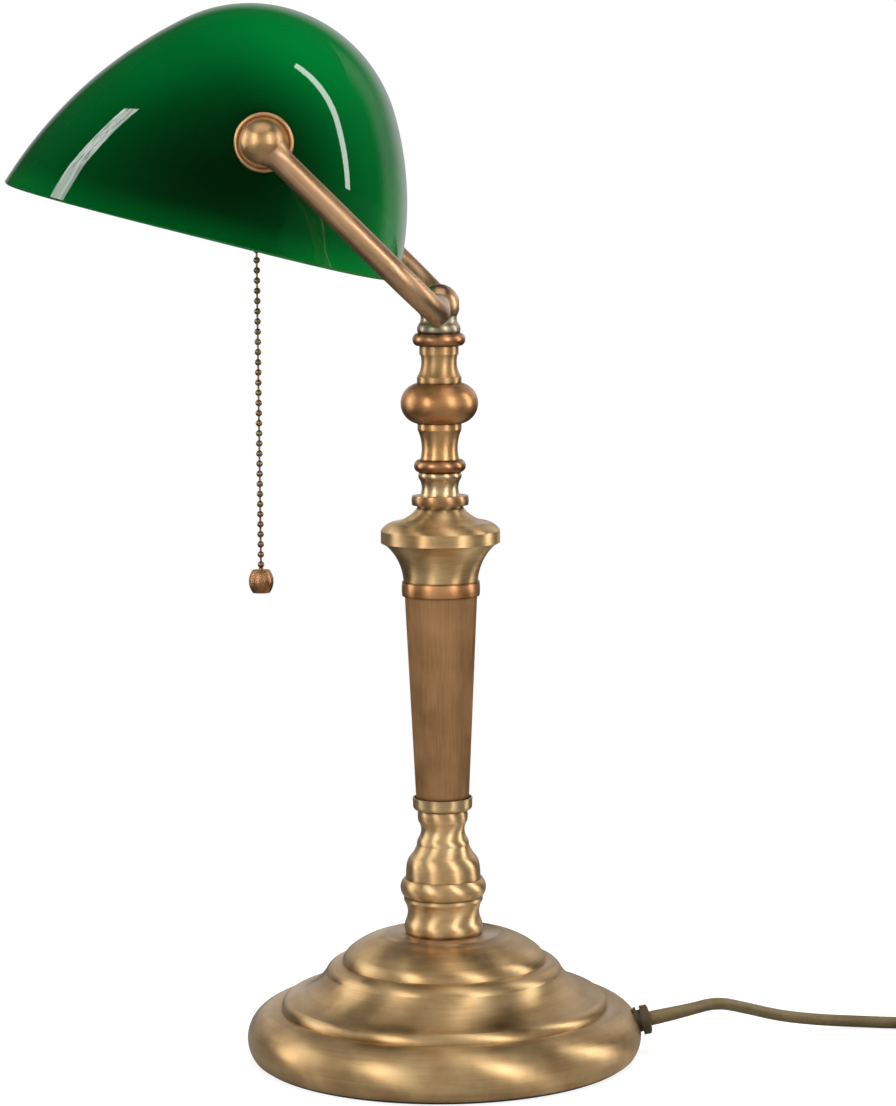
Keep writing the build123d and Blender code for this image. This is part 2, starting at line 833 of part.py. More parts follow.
def shade_sections(half_length, inset):
    """All sections from one flat end patch to the other, on a rounded law."""
    power = 2 / shade_roundness
    angles = [radians(angle) for angle in shade_section_angles]
    sizes = [(sin(angle) ** power, cos(angle) ** power) for angle in angles]
    sizes.append((end_reach_share, shade_end_share))
    places = [(-reach, size) for reach, size in reversed(sizes[1:])] + sizes
    return [shade_section(reach * half_length, size, inset) for reach, size in places]


end_reach_share = (1 - shade_end_share**shade_roundness) ** (1 / shade_roundness)
patch_reach = yoke_half_width - glass_h
half_length = patch_reach / end_reach_share
inner_half_length = (patch_reach - glass_thickness) / end_reach_share
rim_plane = Plane(
    pivot - shade_y * rim_below_pivot,
    x_dir=shade_x,
    z_dir=shade_y,
)
with BuildPart() as shade_glass:
    loft(shade_sections(half_length, 0))
    loft(shade_sections(inner_half_length, glass_thickness), mode=Mode.SUBTRACT)
    with BuildSketch(rim_plane):
        Rectangle(2 * skirt_length + 2 * rim_to_pivot_depth, 2 * yoke_half_width)
    extrude(amount=-skirt_length, mode=Mode.SUBTRACT)
    with BuildSketch(Plane(pivot, z_dir=(0, 1, 0))):
        Circle(bush_collar_radius + seat_clearance)
    extrude(amount=yoke_half_width, both=True, mode=Mode.SUBTRACT)
save(shade_glass, "shade_glass")

# Lamp holder on the far nipple
far = pivot_plane(sides["far"])
cap_end_h = holder_h + holder_cap_length
cap_skirt_h = cap_end_h - holder_cap_skirt
save(spun(far, [
    (nipple_hole_radius, holder_h),
    (holder_cap_neck_radius, holder_h),
    (holder_cap_radius, cap_skirt_h, holder_cap_bulge),
    (holder_cap_radius, cap_end_h),
    (holder_cap_radius - holder_cap_wall, cap_end_h),
    (holder_cap_radius - holder_cap_wall, cap_skirt_h),
    (holder_cap_neck_radius, holder_h + holder_cap_wall, -holder_cap_bulge),
    (nipple_hole_radius, holder_h + holder_cap_wall),
]), "holder_cap")

guide_place = Vector(pivot.X - guide_forward, far.origin.Y - guide_inset, pivot.Z)
guide_up = Plane(guide_place - Vector(0, 0, guide_bottom_drop))
shell_inner_radius = holder_shell_radius - holder_shell_wall
shell_end_h = holder_shell_h + holder_shell_length
with BuildPart() as holder_shell:
    with BuildSketch(far):
        with BuildLine():
            draw([
                (shell_inner_radius, holder_shell_h),
                (holder_shell_radius, holder_shell_h),
                (holder_shell_radius, shell_end_h - mouth_bead_length),
                (holder_shell_radius, shell_end_h, mouth_bead_radius - holder_shell_radius),
                (shell_inner_radius, shell_end_h),
                (shell_inner_radius, holder_shell_h),
            ])
        make_face()
    revolve(axis=Axis(far.origin, far.y_dir))
    with BuildSketch(guide_up):
        Circle(guide_radius + seat_clearance)
    extrude(amount=guide_bottom_drop - guide_top_drop, mode=Mode.SUBTRACT)
save(holder_shell, "holder_shell")

core_radius = shell_inner_radius - seat_clearance
with BuildPart() as holder_insert:
    with BuildSketch(far):
        with BuildLine():
            draw([
                (0, insert_h),
                (core_radius, insert_h),
                (core_radius, insert_end_h),
                (insert_bore_radius, insert_end_h),
                (insert_bore_radius, insert_end_h - insert_bore_depth),
                (0, insert_end_h - insert_bore_depth),
                (0, insert_h),
            ])
        make_face()
    revolve(axis=Axis(far.origin, far.y_dir))
    with BuildSketch(guide_up):
        Circle(guide_radius + seat_clearance)
    extrude(amount=guide_bottom_drop - guide_top_drop, mode=Mode.SUBTRACT)
save(holder_insert, "holder_insert")
save(spun(far, ring(0, core_radius, switch_block_h, switch_block_length)), "switch_block")

save(spun(far, ring(0, bulb_base_radius, bulb_base_h, bulb_base_length)), "bulb_base")
bulb_widest_h = bulb_glass_h + bulb_length - bulb_radius
bulb_inside = bulb_radius - bulb_wall
with BuildPart() as bulb_glass:
    with BuildSketch(far):
        with BuildLine():
            draw([
                (bulb_neck_radius - bulb_wall, bulb_glass_h),
                (bulb_neck_radius, bulb_glass_h),
                (bulb_radius, bulb_widest_h, bulb_neck_bulge),
            ])
            CenterArc((0, bulb_widest_h), bulb_radius, 0, 90)
            Line((0, bulb_widest_h + bulb_radius), (0, bulb_widest_h + bulb_inside))
            CenterArc((0, bulb_widest_h), bulb_inside, 0, 90)
            draw([
                (bulb_neck_radius - bulb_wall, bulb_glass_h),
                (bulb_inside, bulb_widest_h, bulb_neck_bulge),
            ])
        make_face()
    revolve(axis=Axis(far.origin, far.y_dir))
save(bulb_glass, "bulb_glass")

# Pull switch: guide, plunger, bead chain and knob
guide_plane = Plane(guide_place, x_dir=(1, 0, 0), z_dir=(0, -1, 0))
save(spun(guide_plane, [
    (guide_bore_radius, -guide_bottom_drop),
    (guide_mouth_radius, -guide_bottom_drop),
    (guide_radius, -guide_bottom_drop + guide_mouth_height),
    (guide_radius, -guide_top_drop),
    (guide_bore_radius, -guide_top_drop),
]), "chain_guide")
eye_neck = sqrt(chain_eye_radius**2 - plunger_neck_radius**2)
plunger_shoulder = -chain_hinge_drop + 2 * chain_eye_radius
with BuildPart() as switch_plunger:
    with BuildSketch(guide_plane):
        with BuildLine():
            draw([
                (0, -chain_hinge_drop - chain_eye_radius),
                (0, -plunger_top_drop),
                (plunger_radius, -plunger_top_drop),
                (plunger_radius, plunger_shoulder),
                (plunger_neck_radius, plunger_shoulder),
                (plunger_neck_radius, -chain_hinge_drop + eye_neck),
            ])
            ThreePointArc(
                (plunger_neck_radius, -chain_hinge_drop + eye_neck),
                (chain_eye_radius, -chain_hinge_drop),
                (0, -chain_hinge_drop - chain_eye_radius),
            )
        make_face()
    revolve(axis=Axis(guide_plane.origin, guide_plane.y_dir))
    with BuildSketch(Plane(guide_place - Vector(0, 0, chain_hinge_drop), z_dir=(0, 1, 0))):
        Circle(eye_pin_radius)
    extrude(amount=eye_pin_length / 2, both=True)
save(switch_plunger, "switch_plunger")

chain_top = -chain_hinge_drop - chain_eye_radius - loose_clearance
bead_cap = sqrt(chain_bead_radius**2 - chain_link_radius**2)
with BuildPart() as pull_chain:
    with BuildSketch(guide_plane):
        with BuildLine():
            bead_centre = chain_top - chain_bead_radius
            ThreePointArc(
                (0, chain_top),
                (chain_bead_radius, bead_centre),
                (chain_link_radius, bead_centre - bead_cap),
            )
            for _ in range(chain_bead_count - 1):
                link_top = (chain_link_radius, bead_centre - bead_cap)
                bead_centre -= bead_pitch
                bead_top = (chain_link_radius, bead_centre + bead_cap)
                Line(link_top, bead_top)
                ThreePointArc(
                    bead_top,
                    (chain_bead_radius, bead_centre),
                    (chain_link_radius, bead_centre - bead_cap),
                )
            chain_bottom = bead_centre - bead_cap
            draw([(chain_link_radius, chain_bottom), (0, chain_bottom), (0, chain_top)])
        make_face()
    revolve(axis=Axis(guide_plane.origin, guide_plane.y_dir))
save(pull_chain, "pull_chain")
knob_bottom = chain_bottom - knob_collar_height - knob_height
save(spun(guide_plane, [
    (0, knob_bottom),
    (knob_end_radius, knob_bottom),
    (knob_end_radius, knob_bottom + knob_height, knob_radius - knob_end_radius),
    (knob_collar_radius, knob_bottom + knob_height),
    (knob_collar_radius, chain_bottom),
    (0, chain_bottom),
]), "pull_knob")

# Leads held inside the lamp
gland_end = gland_face + gland_axis * gland_length
lead_turn = gland_end - gland_axis * lead_gland_run
with BuildLine() as lead_line:
    FilletPolyline(
        gland_end,
        lead_turn,
        (lead_landing, 0, lead_floor),
        (0, 0, lead_floor),
        (0, 0, rod_top),
        radius=[lead_outer_bend, lead_outer_bend, lead_inner_bend],
    )
save(tube(lead_line.wire(), cord_radius), "stem_lead")
save(tube(arm_line(sides["far"], arm_gap / 2, arm_end_gap), arm_lead_radius), "arm_lead")


def route_line(label, points):
    """Straight runs joined by arcs as large as the runs allow, with the radii printed."""
    corners = [Vector(point) for point in points]
    radii = []
    for before, corner, after in zip(corners, corners[1:], corners[2:]):
        arrive = corner - before
        leave = after - corner
        half_turn = radians(arrive.get_angle(leave)) / 2
        radii.append(route_arc_share * min(arrive.length, leave.length) / tan(half_turn))
    print(label, "radii", [round(radius, 1) for radius in radii])
    with BuildLine() as line:
        FilletPolyline(*corners, radius=radii)
    return line.wire()


# Coil: one tube that spirals in and out, layer on layer
coil_z = tie_thickness + tie_gap + cord_radius
coil_step = cord_diameter + coil_gap
quarters_per_layer = coil_quarter_turns / coil_layers


def coil_point(quarters):
    """Point of the coil after this many quarter turns, clockwise from the far side."""
    layer = min(int(quarters / quarters_per_layer), coil_layers - 1)
    passed = quarters / quarters_per_layer - layer
    inward_share = passed if layer % 2 == 0 else 1 - passed
    radius = coil_outer_radius + (coil_inner_radius - coil_outer_radius) * inward_share
    height = 0
    for reversal in range(1, coil_layers):
        climb = min(max((quarters - reversal * quarters_per_layer + 1) / 2, 0), 1)
        height += climb * climb * (3 - 2 * climb)
    angle = pi / 2 - quarters * pi / 2
    return Vector(
        coil_centre[0] + radius * cos(angle),
        coil_centre[1] + radius * sin(angle),
        coil_z + coil_step * height,
    )


def coil_heading(quarters):
    """Unit direction of the coil there."""
    before = coil_point(quarters - coil_heading_share)
    after = coil_point(quarters + coil_heading_share)
    return (after - before).normalized()


def biarc(start, start_heading, end, end_heading):
    """Two tangent arcs from one point and heading to another."""
    span = end - start
    spread = 1 - start_heading.dot(end_heading)
    along = span.dot(start_heading + end_heading)
    reach = (sqrt(along**2 + 2 * spread * span.dot(span)) - along) / (2 * spread)
    leaving = start + start_heading * reach
    arriving = end - end_heading * reach
    middle = (leaving + arriving) / 2
    TangentArc(start, middle, tangent=start_heading)
    TangentArc(middle, end, tangent=arriving - leaving)


coil_first = coil_point(0)
coil_last = coil_point(coil_quarter_turns)
coil_in = Vector(1, 0, 0)
coil_out = Vector(0, -1, 0)
with BuildLine() as coil_line:
    Line(coil_first - coil_in * cord_diameter, coil_first)
    for quarter in range(coil_quarter_turns):
        ends = []
        for place in (quarter, quarter + 1):
            turning = coil_heading(place)
            turning = coil_in if place == 0 else turning
            turning = coil_out if place == coil_quarter_turns else turning
            ends += [coil_point(place), turning]
        biarc(*ends)
    Line(coil_last, coil_last + coil_out * cord_diameter)
coil_wire = coil_line.wire()
save(tube(coil_wire, cord_radius), "cord_coil")

coil_start = coil_first - coil_in * cord_diameter
cord_line = route_line("cord", [
    gland_end,
    gland_end + gland_axis * cord_first_run,
    *cord_route,
    coil_start - coil_in * cord_last_run,
    coil_start,
])
save(tube(cord_line, cord_radius), "power_cord")
coil_end = coil_last + coil_out * cord_diameter
tail_line = route_line("tail", [coil_end, coil_end + coil_out * tail_first_run, *tail_route, plug_rear])
save(tube(tail_line, cord_radius), "cord_tail")
cord_length = cord_line.length + coil_wire.length + tail_line.length
print("cord length", round(cord_length, 1))

tie_out = Vector(cos(radians(tie_angle)), sin(radians(tie_angle)), 0)
bundle_width = coil_outer_radius - coil_inner_radius + cord_diameter
bundle_height = coil_step * (coil_layers - 1) + cord_diameter
tie_middle = Vector(*coil_centre) + tie_out * ((coil_outer_radius + coil_inner_radius) / 2)
tie_centre = Vector(tie_middle.X, tie_middle.Y, tie_thickness + tie_gap + bundle_height / 2)
tie_hole = (bundle_width + 2 * tie_gap, bundle_height + 2 * tie_gap)
tie_outside = [size + 2 * tie_thickness for size in tie_hole]
with BuildPart() as cord_tie:
    with BuildSketch(Plane(tie_centre, x_dir=tie_out, z_dir=tie_out.cross(Vector(0, 0, 1)))):
        RectangleRounded(*tie_outside, radius=cord_radius + tie_thickness)
        RectangleRounded(*tie_hole, radius=cord_radius, mode=Mode.SUBTRACT)
    extrude(amount=tie_width / 2, both=True)
save(cord_tie, "cord_tie")

# Flat two-pin plug
plug_plane = Plane(plug_rear, x_dir=(1, 0, 0), z_dir=(0, 0, 1))
collar_end = -plug_collar_length
body_end = collar_end - plug_body_length
shoulder = collar_end - plug_body_length * plug_shoulder_share
plug_back = Plane(plug_rear, x_dir=(1, 0, 0), z_dir=(0, -1, 0))
plug_front = plug_back.offset(-body_end)
with BuildPart() as plug_body:
    with BuildSketch(plug_plane.offset(-plug_thickness / 2)):
        with BuildLine():
            Polyline(
                (plug_width * plug_rear_width_share / 2, collar_end),
                (plug_width / 2, shoulder),
                (plug_width / 2, body_end),
                (-plug_width / 2, body_end),
                (-plug_width / 2, shoulder),
                (-plug_width * plug_rear_width_share / 2, collar_end),
                close=True,
            )
        make_face()
    extrude(amount=plug_thickness)
    fillet(plug_body.edges(), plug_edge_radius)
    with BuildSketch(plug_back):
        Circle(plug_collar_tip_radius)
    with BuildSketch(plug_back.offset(plug_collar_length + plug_edge_radius)):
        Circle(plug_collar_radius)
    loft()
    with BuildSketch(plug_front):
        with Locations((-pin_spacing / 2, 0), (pin_spacing / 2, 0)):
            Circle(pin_radius + seat_clearance)
    extrude(amount=-pin_embed, mode=Mode.SUBTRACT)
save(plug_body, "plug_body")
with BuildPart() as plug_pins:
    with BuildSketch(plug_front.offset(-pin_embed)):
        with Locations((-pin_spacing / 2, 0), (pin_spacing / 2, 0)):
            Circle(pin_radius)
    extrude(amount=pin_length + pin_embed)
    fillet(plug_pins.faces().sort_by(Axis.Y)[:2].edges(), pin_radius / 2)
save(plug_pins, "plug_pins")
print("pivot", pivot, "yoke height", round(yoke_z, 2))
print("chain hinge", guide_place - Vector(0, 0, chain_hinge_drop))
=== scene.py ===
import json
import math

import bmesh
import bpy
from mathutils import Matrix, Vector


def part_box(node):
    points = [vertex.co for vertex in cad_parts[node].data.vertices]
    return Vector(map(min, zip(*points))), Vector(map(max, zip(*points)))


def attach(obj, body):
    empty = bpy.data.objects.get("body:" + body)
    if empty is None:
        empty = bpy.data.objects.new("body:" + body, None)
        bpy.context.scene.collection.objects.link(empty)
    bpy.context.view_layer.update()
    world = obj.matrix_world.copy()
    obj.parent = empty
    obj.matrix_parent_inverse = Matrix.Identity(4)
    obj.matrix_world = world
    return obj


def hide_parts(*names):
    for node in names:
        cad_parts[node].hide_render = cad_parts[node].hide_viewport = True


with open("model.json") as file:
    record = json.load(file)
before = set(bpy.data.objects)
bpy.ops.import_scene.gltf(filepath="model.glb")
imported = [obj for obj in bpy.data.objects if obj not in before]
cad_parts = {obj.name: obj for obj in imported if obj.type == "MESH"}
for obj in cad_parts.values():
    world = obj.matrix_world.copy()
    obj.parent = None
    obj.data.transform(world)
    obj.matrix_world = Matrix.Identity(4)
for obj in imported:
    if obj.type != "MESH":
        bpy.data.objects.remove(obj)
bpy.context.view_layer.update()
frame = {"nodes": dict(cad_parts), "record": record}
nodes = frame["nodes"]
scene = bpy.context.scene
scene.view_settings.view_transform = "Standard"

# Metres and radians, apart from names that end in _MM or _DEGREES
ACROSS = Vector((0.0, 1.0, 0.0))
UP = Vector((0.0, 0.0, 1.0))
PIVOT = Vector((-0.0636396, 0.0, 0.3737396))
SHADE_LEAN = math.radians(14.5)
SHADE_X = Vector((math.cos(SHADE_LEAN), 0.0, -math.sin(SHADE_LEAN)))
SHADE_Y = Vector((math.sin(SHADE_LEAN), 0.0, math.cos(SHADE_LEAN)))
RIM_DEPTH, RIM_BELOW = 0.10125, 0.039798
ARM_LEAN = math.radians(45)
ALONG_ARM = Vector((-math.sin(ARM_LEAN), 0.0, math.cos(ARM_LEAN)))

# Camera at the photograph's angle
SENSOR_MM, LENS_MM = 36.0, 104.33
CAMERA_PLACE = (0.003862, -1.303, 0.34976)
CAMERA_TURN, CAMERA_TILT, CAMERA_ROLL = 0.00064, 0.107656, -0.00791


def add_camera():
    data = bpy.data.cameras.new("photo_camera")
    data.sensor_fit = "AUTO"
    data.sensor_width = SENSOR_MM
    data.lens = LENS_MM
    camera = bpy.data.objects.new("photo_camera", data)
    scene.collection.objects.link(camera)
    tilt = Matrix.Rotation(math.pi / 2 - CAMERA_TILT, 4, "X")
    aim = Matrix.Rotation(CAMERA_TURN, 4, "Z") @ tilt
    roll = Matrix.Rotation(CAMERA_ROLL, 4, "Z")
    camera.matrix_world = Matrix.Translation(CAMERA_PLACE) @ aim @ roll
    scene.camera = camera


# Building blocks for the node trees of materials, lamps and the world
class Net:
    def __init__(self, tree):
        self.tree = tree

    def add(self, kind, **settings):
        node = self.tree.nodes.new("ShaderNode" + kind)
        for key, value in settings.items():
            setattr(node, key, value)
        return node

    def feed(self, socket, value):
        if isinstance(value, bpy.types.NodeSocket):
            self.tree.links.new(value, socket)
        elif value is not None:
            socket.default_value = value

    def math(self, operation, a, b=None):
        node = self.add("Math", operation=operation)
        self.feed(node.inputs[0], a)
        self.feed(node.inputs[1], b)
        return node.outputs[0]

    def weigh(self, a, share_a, b, share_b):
        parts = (self.math("MULTIPLY", a, share_a), self.math("MULTIPLY", b, share_b))
        return self.math("ADD", *parts)

    def vector(self, operation, a, b=None):
        node = self.add("VectorMath", operation=operation)
        self.feed(node.inputs[0], a)
        self.feed(node.inputs[1], b)
        return node.outputs["Value" if operation in ("DOT_PRODUCT", "LENGTH") else "Vector"]

    def split(self, vector):
        node = self.add("SeparateXYZ")
        self.feed(node.inputs[0], vector)
        return node.outputs

    def join_scaled(self, *pairs):
        node = self.add("CombineXYZ")
        for socket, (value, factor) in zip(node.inputs, pairs):
            self.feed(socket, self.math("MULTIPLY", value, factor))
        return node.outputs[0]

    def place(self, centre=(0.0, 0.0, 0.0)):
        node = self.add("TexCoord")
        return self.vector("SUBTRACT", node.outputs["Object"], tuple(centre))

    def noise(self, vector, scale, detail=2.0, rough=0.5, w=None, warp=0.0):
        node = self.add("TexNoise", noise_dimensions="3D" if w is None else "4D")
        self.feed(node.inputs["Vector"], vector)
        if w is not None:
            self.feed(node.inputs["W"], w)
        self.feed(node.inputs["Scale"], scale)
        self.feed(node.inputs["Detail"], detail)
        self.feed(node.inputs["Roughness"], rough)
        self.feed(node.inputs["Distortion"], warp)
        return node.outputs[0]

    def span(self, value, low, high, to_low=0.0, to_high=1.0, smooth=True):
        node = self.add("MapRange", interpolation_type="SMOOTHSTEP" if smooth else "LINEAR")
        for socket, number in zip(node.inputs, (value, low, high, to_low, to_high)):
            self.feed(socket, number)
        return node.outputs[0]

    def mix(self, share, a, b):
        node = self.add("Mix", data_type="RGBA")
        self.feed(node.inputs[0], share)
        for socket, value in ((node.inputs[6], a), (node.inputs[7], b)):
            plain = not isinstance(value, bpy.types.NodeSocket)
            self.feed(socket, (*value, 1.0) if plain else value)
        return node.outputs[2]

    def mix_level(self, share, a, b):
        node = self.add("Mix", data_type="FLOAT")
        for socket, value in ((node.inputs[0], share), (node.inputs[2], a), (node.inputs[3], b)):
            self.feed(socket, value)
        return node.outputs[0]

    def mix_shader(self, share, a, b):
        node = self.add("MixShader")
        for socket, value in zip(node.inputs, (share, a, b)):
            self.feed(socket, value)
        return node.outputs[0]

    def ramp(self, share, *stops):
        node = self.add("ValToRGB")
        self.feed(node.inputs[0], share)
        for point, (position, colour) in zip(node.color_ramp.elements, stops):
            point.position = position
            point.color = (*colour, 1.0)
        return node.outputs[0]

    def bump(self, height, strength, distance):
        node = self.add("Bump")
        self.feed(node.inputs["Strength"], strength)
        self.feed(node.inputs["Distance"], distance)
        self.feed(node.inputs["Height"], height)
        return node.outputs[0]

    # How open a surface is to its surroundings, low in crevices where shade falls: drives painted
    # shade and patina
    def crevice(self, distance):
        node = self.add("AmbientOcclusion", samples=8)
        self.feed(node.inputs["Distance"], distance)
        return node.outputs["AO"]


# A material with one principled surface
class Surface(Net):
    def __init__(self, name):
        self.material = bpy.data.materials.new(name)
        self.material.use_nodes = True
        super().__init__(self.material.node_tree)
        self.tree.nodes.clear()
        self.bsdf = self.add("BsdfPrincipled")
        self.out = self.add("OutputMaterial")
        self.feed(self.out.inputs[0], self.bsdf.outputs[0])

    def set(self, **values):
        for key, value in values.items():
            self.feed(self.bsdf.inputs[key.replace("_", " ")], value)

    def radial_gloss(self, axis):
        self.set(Tangent=self.add("Tangent", direction_type="RADIAL", axis=axis).outputs[0])


# For each axis: the parts of a place along it and across it
AXES = {"Y": (1, 2, 0), "Z": (2, 0, 1)}
GRAIN_DEPTH = 0.0002
STEP_BLEND = 0.0003
# Around each join the colour darkens fully within the first distance and not at all beyond the
# second: grime in the join and painted shadow in the gap between stacked pieces
SEAM_DARK, SEAM_DARK_END = 0.00015, 0.0006


# Brass turned and brushed round an axis: brush lines, patina clouds, and patina with painted shade
# in the grooves.
# above: height, dark and light colour of what lies higher up. seams: heights of joins, darkened
# with grime and painted shadow.
def turned_brass(
    name, dark, light, roughness, gloss_turn, axis="Z", centre=(0, 0, 0),
    stretch=0.85, brush=0.015, shade_and_patina=0.8, above=None, seams=(),
):
    net = Surface(name)
    place = net.place(centre)
    parts = net.split(place)
    along, u, v = (parts[i] for i in AXES[axis])
    squares = net.math("ADD", net.math("MULTIPLY", u, u), net.math("MULTIPLY", v, v))
    radius = net.math("SQRT", squares)
    safe = net.math("MAXIMUM", radius, 0.0001)
    round_u, round_v = net.math("DIVIDE", u, safe), net.math("DIVIDE", v, safe)

    def rings(per_metre, around, detail, rough):
        at = net.join_scaled((radius, per_metre), (along, per_metre), (round_u, around))
        return net.noise(at, 1.0, detail, rough, w=net.math("MULTIPLY", round_v, around))

    lines = rings(per_metre=2600.0, around=3.0, detail=3.0, rough=0.6)
    bands = rings(per_metre=260.0, around=1.4, detail=2.0, rough=0.5)
    clouds = net.noise(place, scale=55.0, detail=3.0, rough=0.55)
    tone = net.weigh(bands, 0.3, clouds, 0.7)
    tone = net.math("ADD", tone, net.math("MULTIPLY", net.math("SUBTRACT", lines, 0.5), 0.35))
    shade = net.span(tone, 0.3, 0.7)
    colour = net.mix(shade, dark, light)
    if above:
        height, dark_above, light_above = above
        higher = net.span(along, height - STEP_BLEND, height + STEP_BLEND)
        colour = net.mix(higher, colour, net.mix(shade, dark_above, light_above))
    # Patina and painted shade in crevices: the colour darkens where ambient occlusion finds the
    # surface enclosed
    free_of_shade_and_patina = net.span(net.crevice(0.0025), 0.35, 0.85, 1.0 - shade_and_patina, 1.0)
    # Dark joins: grime in each join and painted shadow in the gap between stacked pieces
    for height in seams:
        off = net.math("ABSOLUTE", net.math("SUBTRACT", along, height))
        free_of_shade_and_patina = net.math("MINIMUM", free_of_shade_and_patina, net.span(off, SEAM_DARK, SEAM_DARK_END, 0.25, 1.0))
    wear = net.math("ADD", clouds, lines)
    # In crevices and at joins the base colour darkens to a quarter of the dark colour: patina,
    # grime and painted shade
    net.set(
        Base_Color=net.mix(free_of_shade_and_patina, tuple(0.25 * c for c in dark), colour),
        Metallic=1.0,
        Roughness=net.span(wear, 0.7, 1.3, roughness - 0.06, roughness + 0.08),
        Anisotropic=stretch,
        Anisotropic_Rotation=gloss_turn,
        Normal=net.bump(lines, brush, GRAIN_DEPTH),
    )
    net.radial_gloss(axis)
    return net.material


# Brass brushed along a straight direction: the column and the arms
def drawn_brass(name, dark, light, roughness, grain, brush, stretch=0.0):
    net = Surface(name)
    place = net.place()
    grain = Vector(grain).normalized()
    side = grain.cross(ACROSS).normalized()
    lines_across = 1400.0
    scales = (
        (grain, lines_across / 45.0), (side, lines_across), (grain.cross(side), lines_across),
    )
    lines_at = net.join_scaled(
        *((net.vector("DOT_PRODUCT", place, tuple(way)), scale) for way, scale in scales)
    )
    lines = net.noise(lines_at, 1.0, detail=4.0, rough=0.65)
    clouds = net.noise(place, scale=60.0, detail=3.0, rough=0.55)
    tone = net.weigh(lines, 0.5, clouds, 0.5)
    colour = net.mix(net.span(tone, 0.3, 0.7), dark, light)
    # Patina and painted shade in crevices, where ambient occlusion finds the surface enclosed: the
    # base colour darkens there towards 0.28 of the dark colour
    free_of_shade_and_patina = net.span(net.crevice(0.004), 0.35, 0.95)
    wear = net.math("ADD", clouds, lines)
    net.set(
        Base_Color=net.mix(free_of_shade_and_patina, tuple(0.28 * c for c in dark), colour),
        Metallic=1.0,
        Roughness=net.span(wear, 0.7, 1.3, roughness - 0.06, roughness + 0.08),
        Anisotropic=stretch,
        Normal=net.bump(lines, brush, GRAIN_DEPTH),
    )
    if stretch:
        net.radial_gloss("Z")
    return net.material


# Steel, iron, pins, chain and knob: metal or paint with a worn, uneven finish
def worn_metal(name, dark, light, roughness, scale=400.0, brush=0.1, metallic=1.0, detail=4.0):
    net = Surface(name)
    place = net.place()
    grain = net.noise(place, scale, detail, rough=0.6)
    clouds = net.noise(place, scale / 12.0, detail, rough=0.6)
    tone = net.weigh(grain, 0.5, clouds, 0.5)
    net.set(
        Base_Color=net.mix(net.span(tone, 0.32, 0.68), dark, light),
        Metallic=metallic,
        Roughness=net.span(grain, 0.3, 0.7, roughness - 0.06, roughness + 0.1),
        Normal=net.bump(grain, brush, GRAIN_DEPTH),
    )
    return net.material


# Moulded plastic and rubber: fine grain, faint mottling
def moulded(name, dark, light, roughness, scale=1800.0, brush=0.12):
    net = Surface(name)
    place = net.place()
    grain = net.noise(place, scale, detail=3.0, rough=0.6)
    clouds = net.noise(place, scale=70.0, detail=3.0, rough=0.6)
    tone = net.weigh(grain, 0.4, clouds, 0.6)
    net.set(
        Base_Color=net.mix(net.span(tone, 0.3, 0.7), dark, light),
        Roughness=net.span(grain, 0.3, 0.7, roughness - 0.06, roughness + 0.1),
        Normal=net.bump(grain, brush, GRAIN_DEPTH),
    )
    return net.material


GLASS_IOR = 1.5
GLASS_RIPPLE = 0.0006
SWIRL_SHAPE = (1.0, 0.4, 1.0)


# Green cased glass: faint swirls, painted shade in the middle of each end, painted light at the
# back, and a lighter rim from thinner glass and painted light
def green_glass():
    net = Surface("green_glass")
    place = net.place(PIVOT)
    depth = net.vector("DOT_PRODUCT", place, tuple(SHADE_X))
    height = net.vector("DOT_PRODUCT", place, tuple(SHADE_Y))
    swirl = net.noise(net.vector("MULTIPLY", place, SWIRL_SHAPE), scale=16.0)
    green = net.ramp(swirl, (0.3, (0.0, 0.168, 0.027)), (0.7, (0.0, 0.194, 0.031)))

    # Painted shade: the middle of each end darkens to a near black green, most in an oval a little
    # in front of and below the pivot
    from_middle = net.vector("ADD", place, (0.015, 0.0, 0.012))
    oval = net.vector("LENGTH", net.vector("MULTIPLY", from_middle, (0.6, 0.0, 1.0)))
    reach = net.math("ABSOLUTE", net.split(place)[1])
    end_painted_shade = net.math(
        "MULTIPLY", net.span(reach, 0.070, 0.110), net.span(oval, 0.0, 0.044, 0.78, 0.0)
    )
    green = net.mix(end_painted_shade, green, (0.0, 0.016, 0.002))

    # Painted light: the lower back of the shade brightens to a lighter green, as light shining
    # through the glass
    back_painted_light = net.math(
        "MULTIPLY", net.span(depth, 0.042, 0.056), net.span(height, -0.015, 0.025, 0.85, 0.0)
    )
    green = net.mix(back_painted_light, green, (0.0, 0.36, 0.050))

    # Lighter green along the rim: partly the glass, thinner at its edge, and partly painted light
    # shining through it
    rim_thin_glass_and_light = net.span(height, -RIM_BELOW, -0.027, 1.0, 0.0)
    green = net.mix(net.math("MULTIPLY", rim_thin_glass_and_light, 0.8), green, (0.0, 0.34, 0.046))

    ripple = net.noise(place, scale=26.0, detail=1.0, rough=0.4)
    net.set(
        Base_Color=green,
        Roughness=net.span(swirl, 0.3, 0.7, 0.025, 0.045),
        IOR=GLASS_IOR,
        Normal=net.bump(ripple, 0.04, GLASS_RIPPLE),
    )
    return net.material


# White glass on the inside of the shade
def milk_glass():
    net = Surface("milk_glass")
    place = net.place(PIVOT)
    swirl = net.noise(
        net.vector("MULTIPLY", place, SWIRL_SHAPE), scale=22.0, detail=3.0, rough=0.55
    )
    net.set(
        Base_Color=net.ramp(swirl, (0.3, (0.76, 0.78, 0.73)), (0.7, (0.84, 0.85, 0.81))),
        Roughness=net.span(swirl, 0.3, 0.7, 0.10, 0.18),
        IOR=GLASS_IOR,
        Normal=net.bump(net.noise(place, scale=40.0), 0.06, GLASS_RIPPLE),
    )
    return net.material


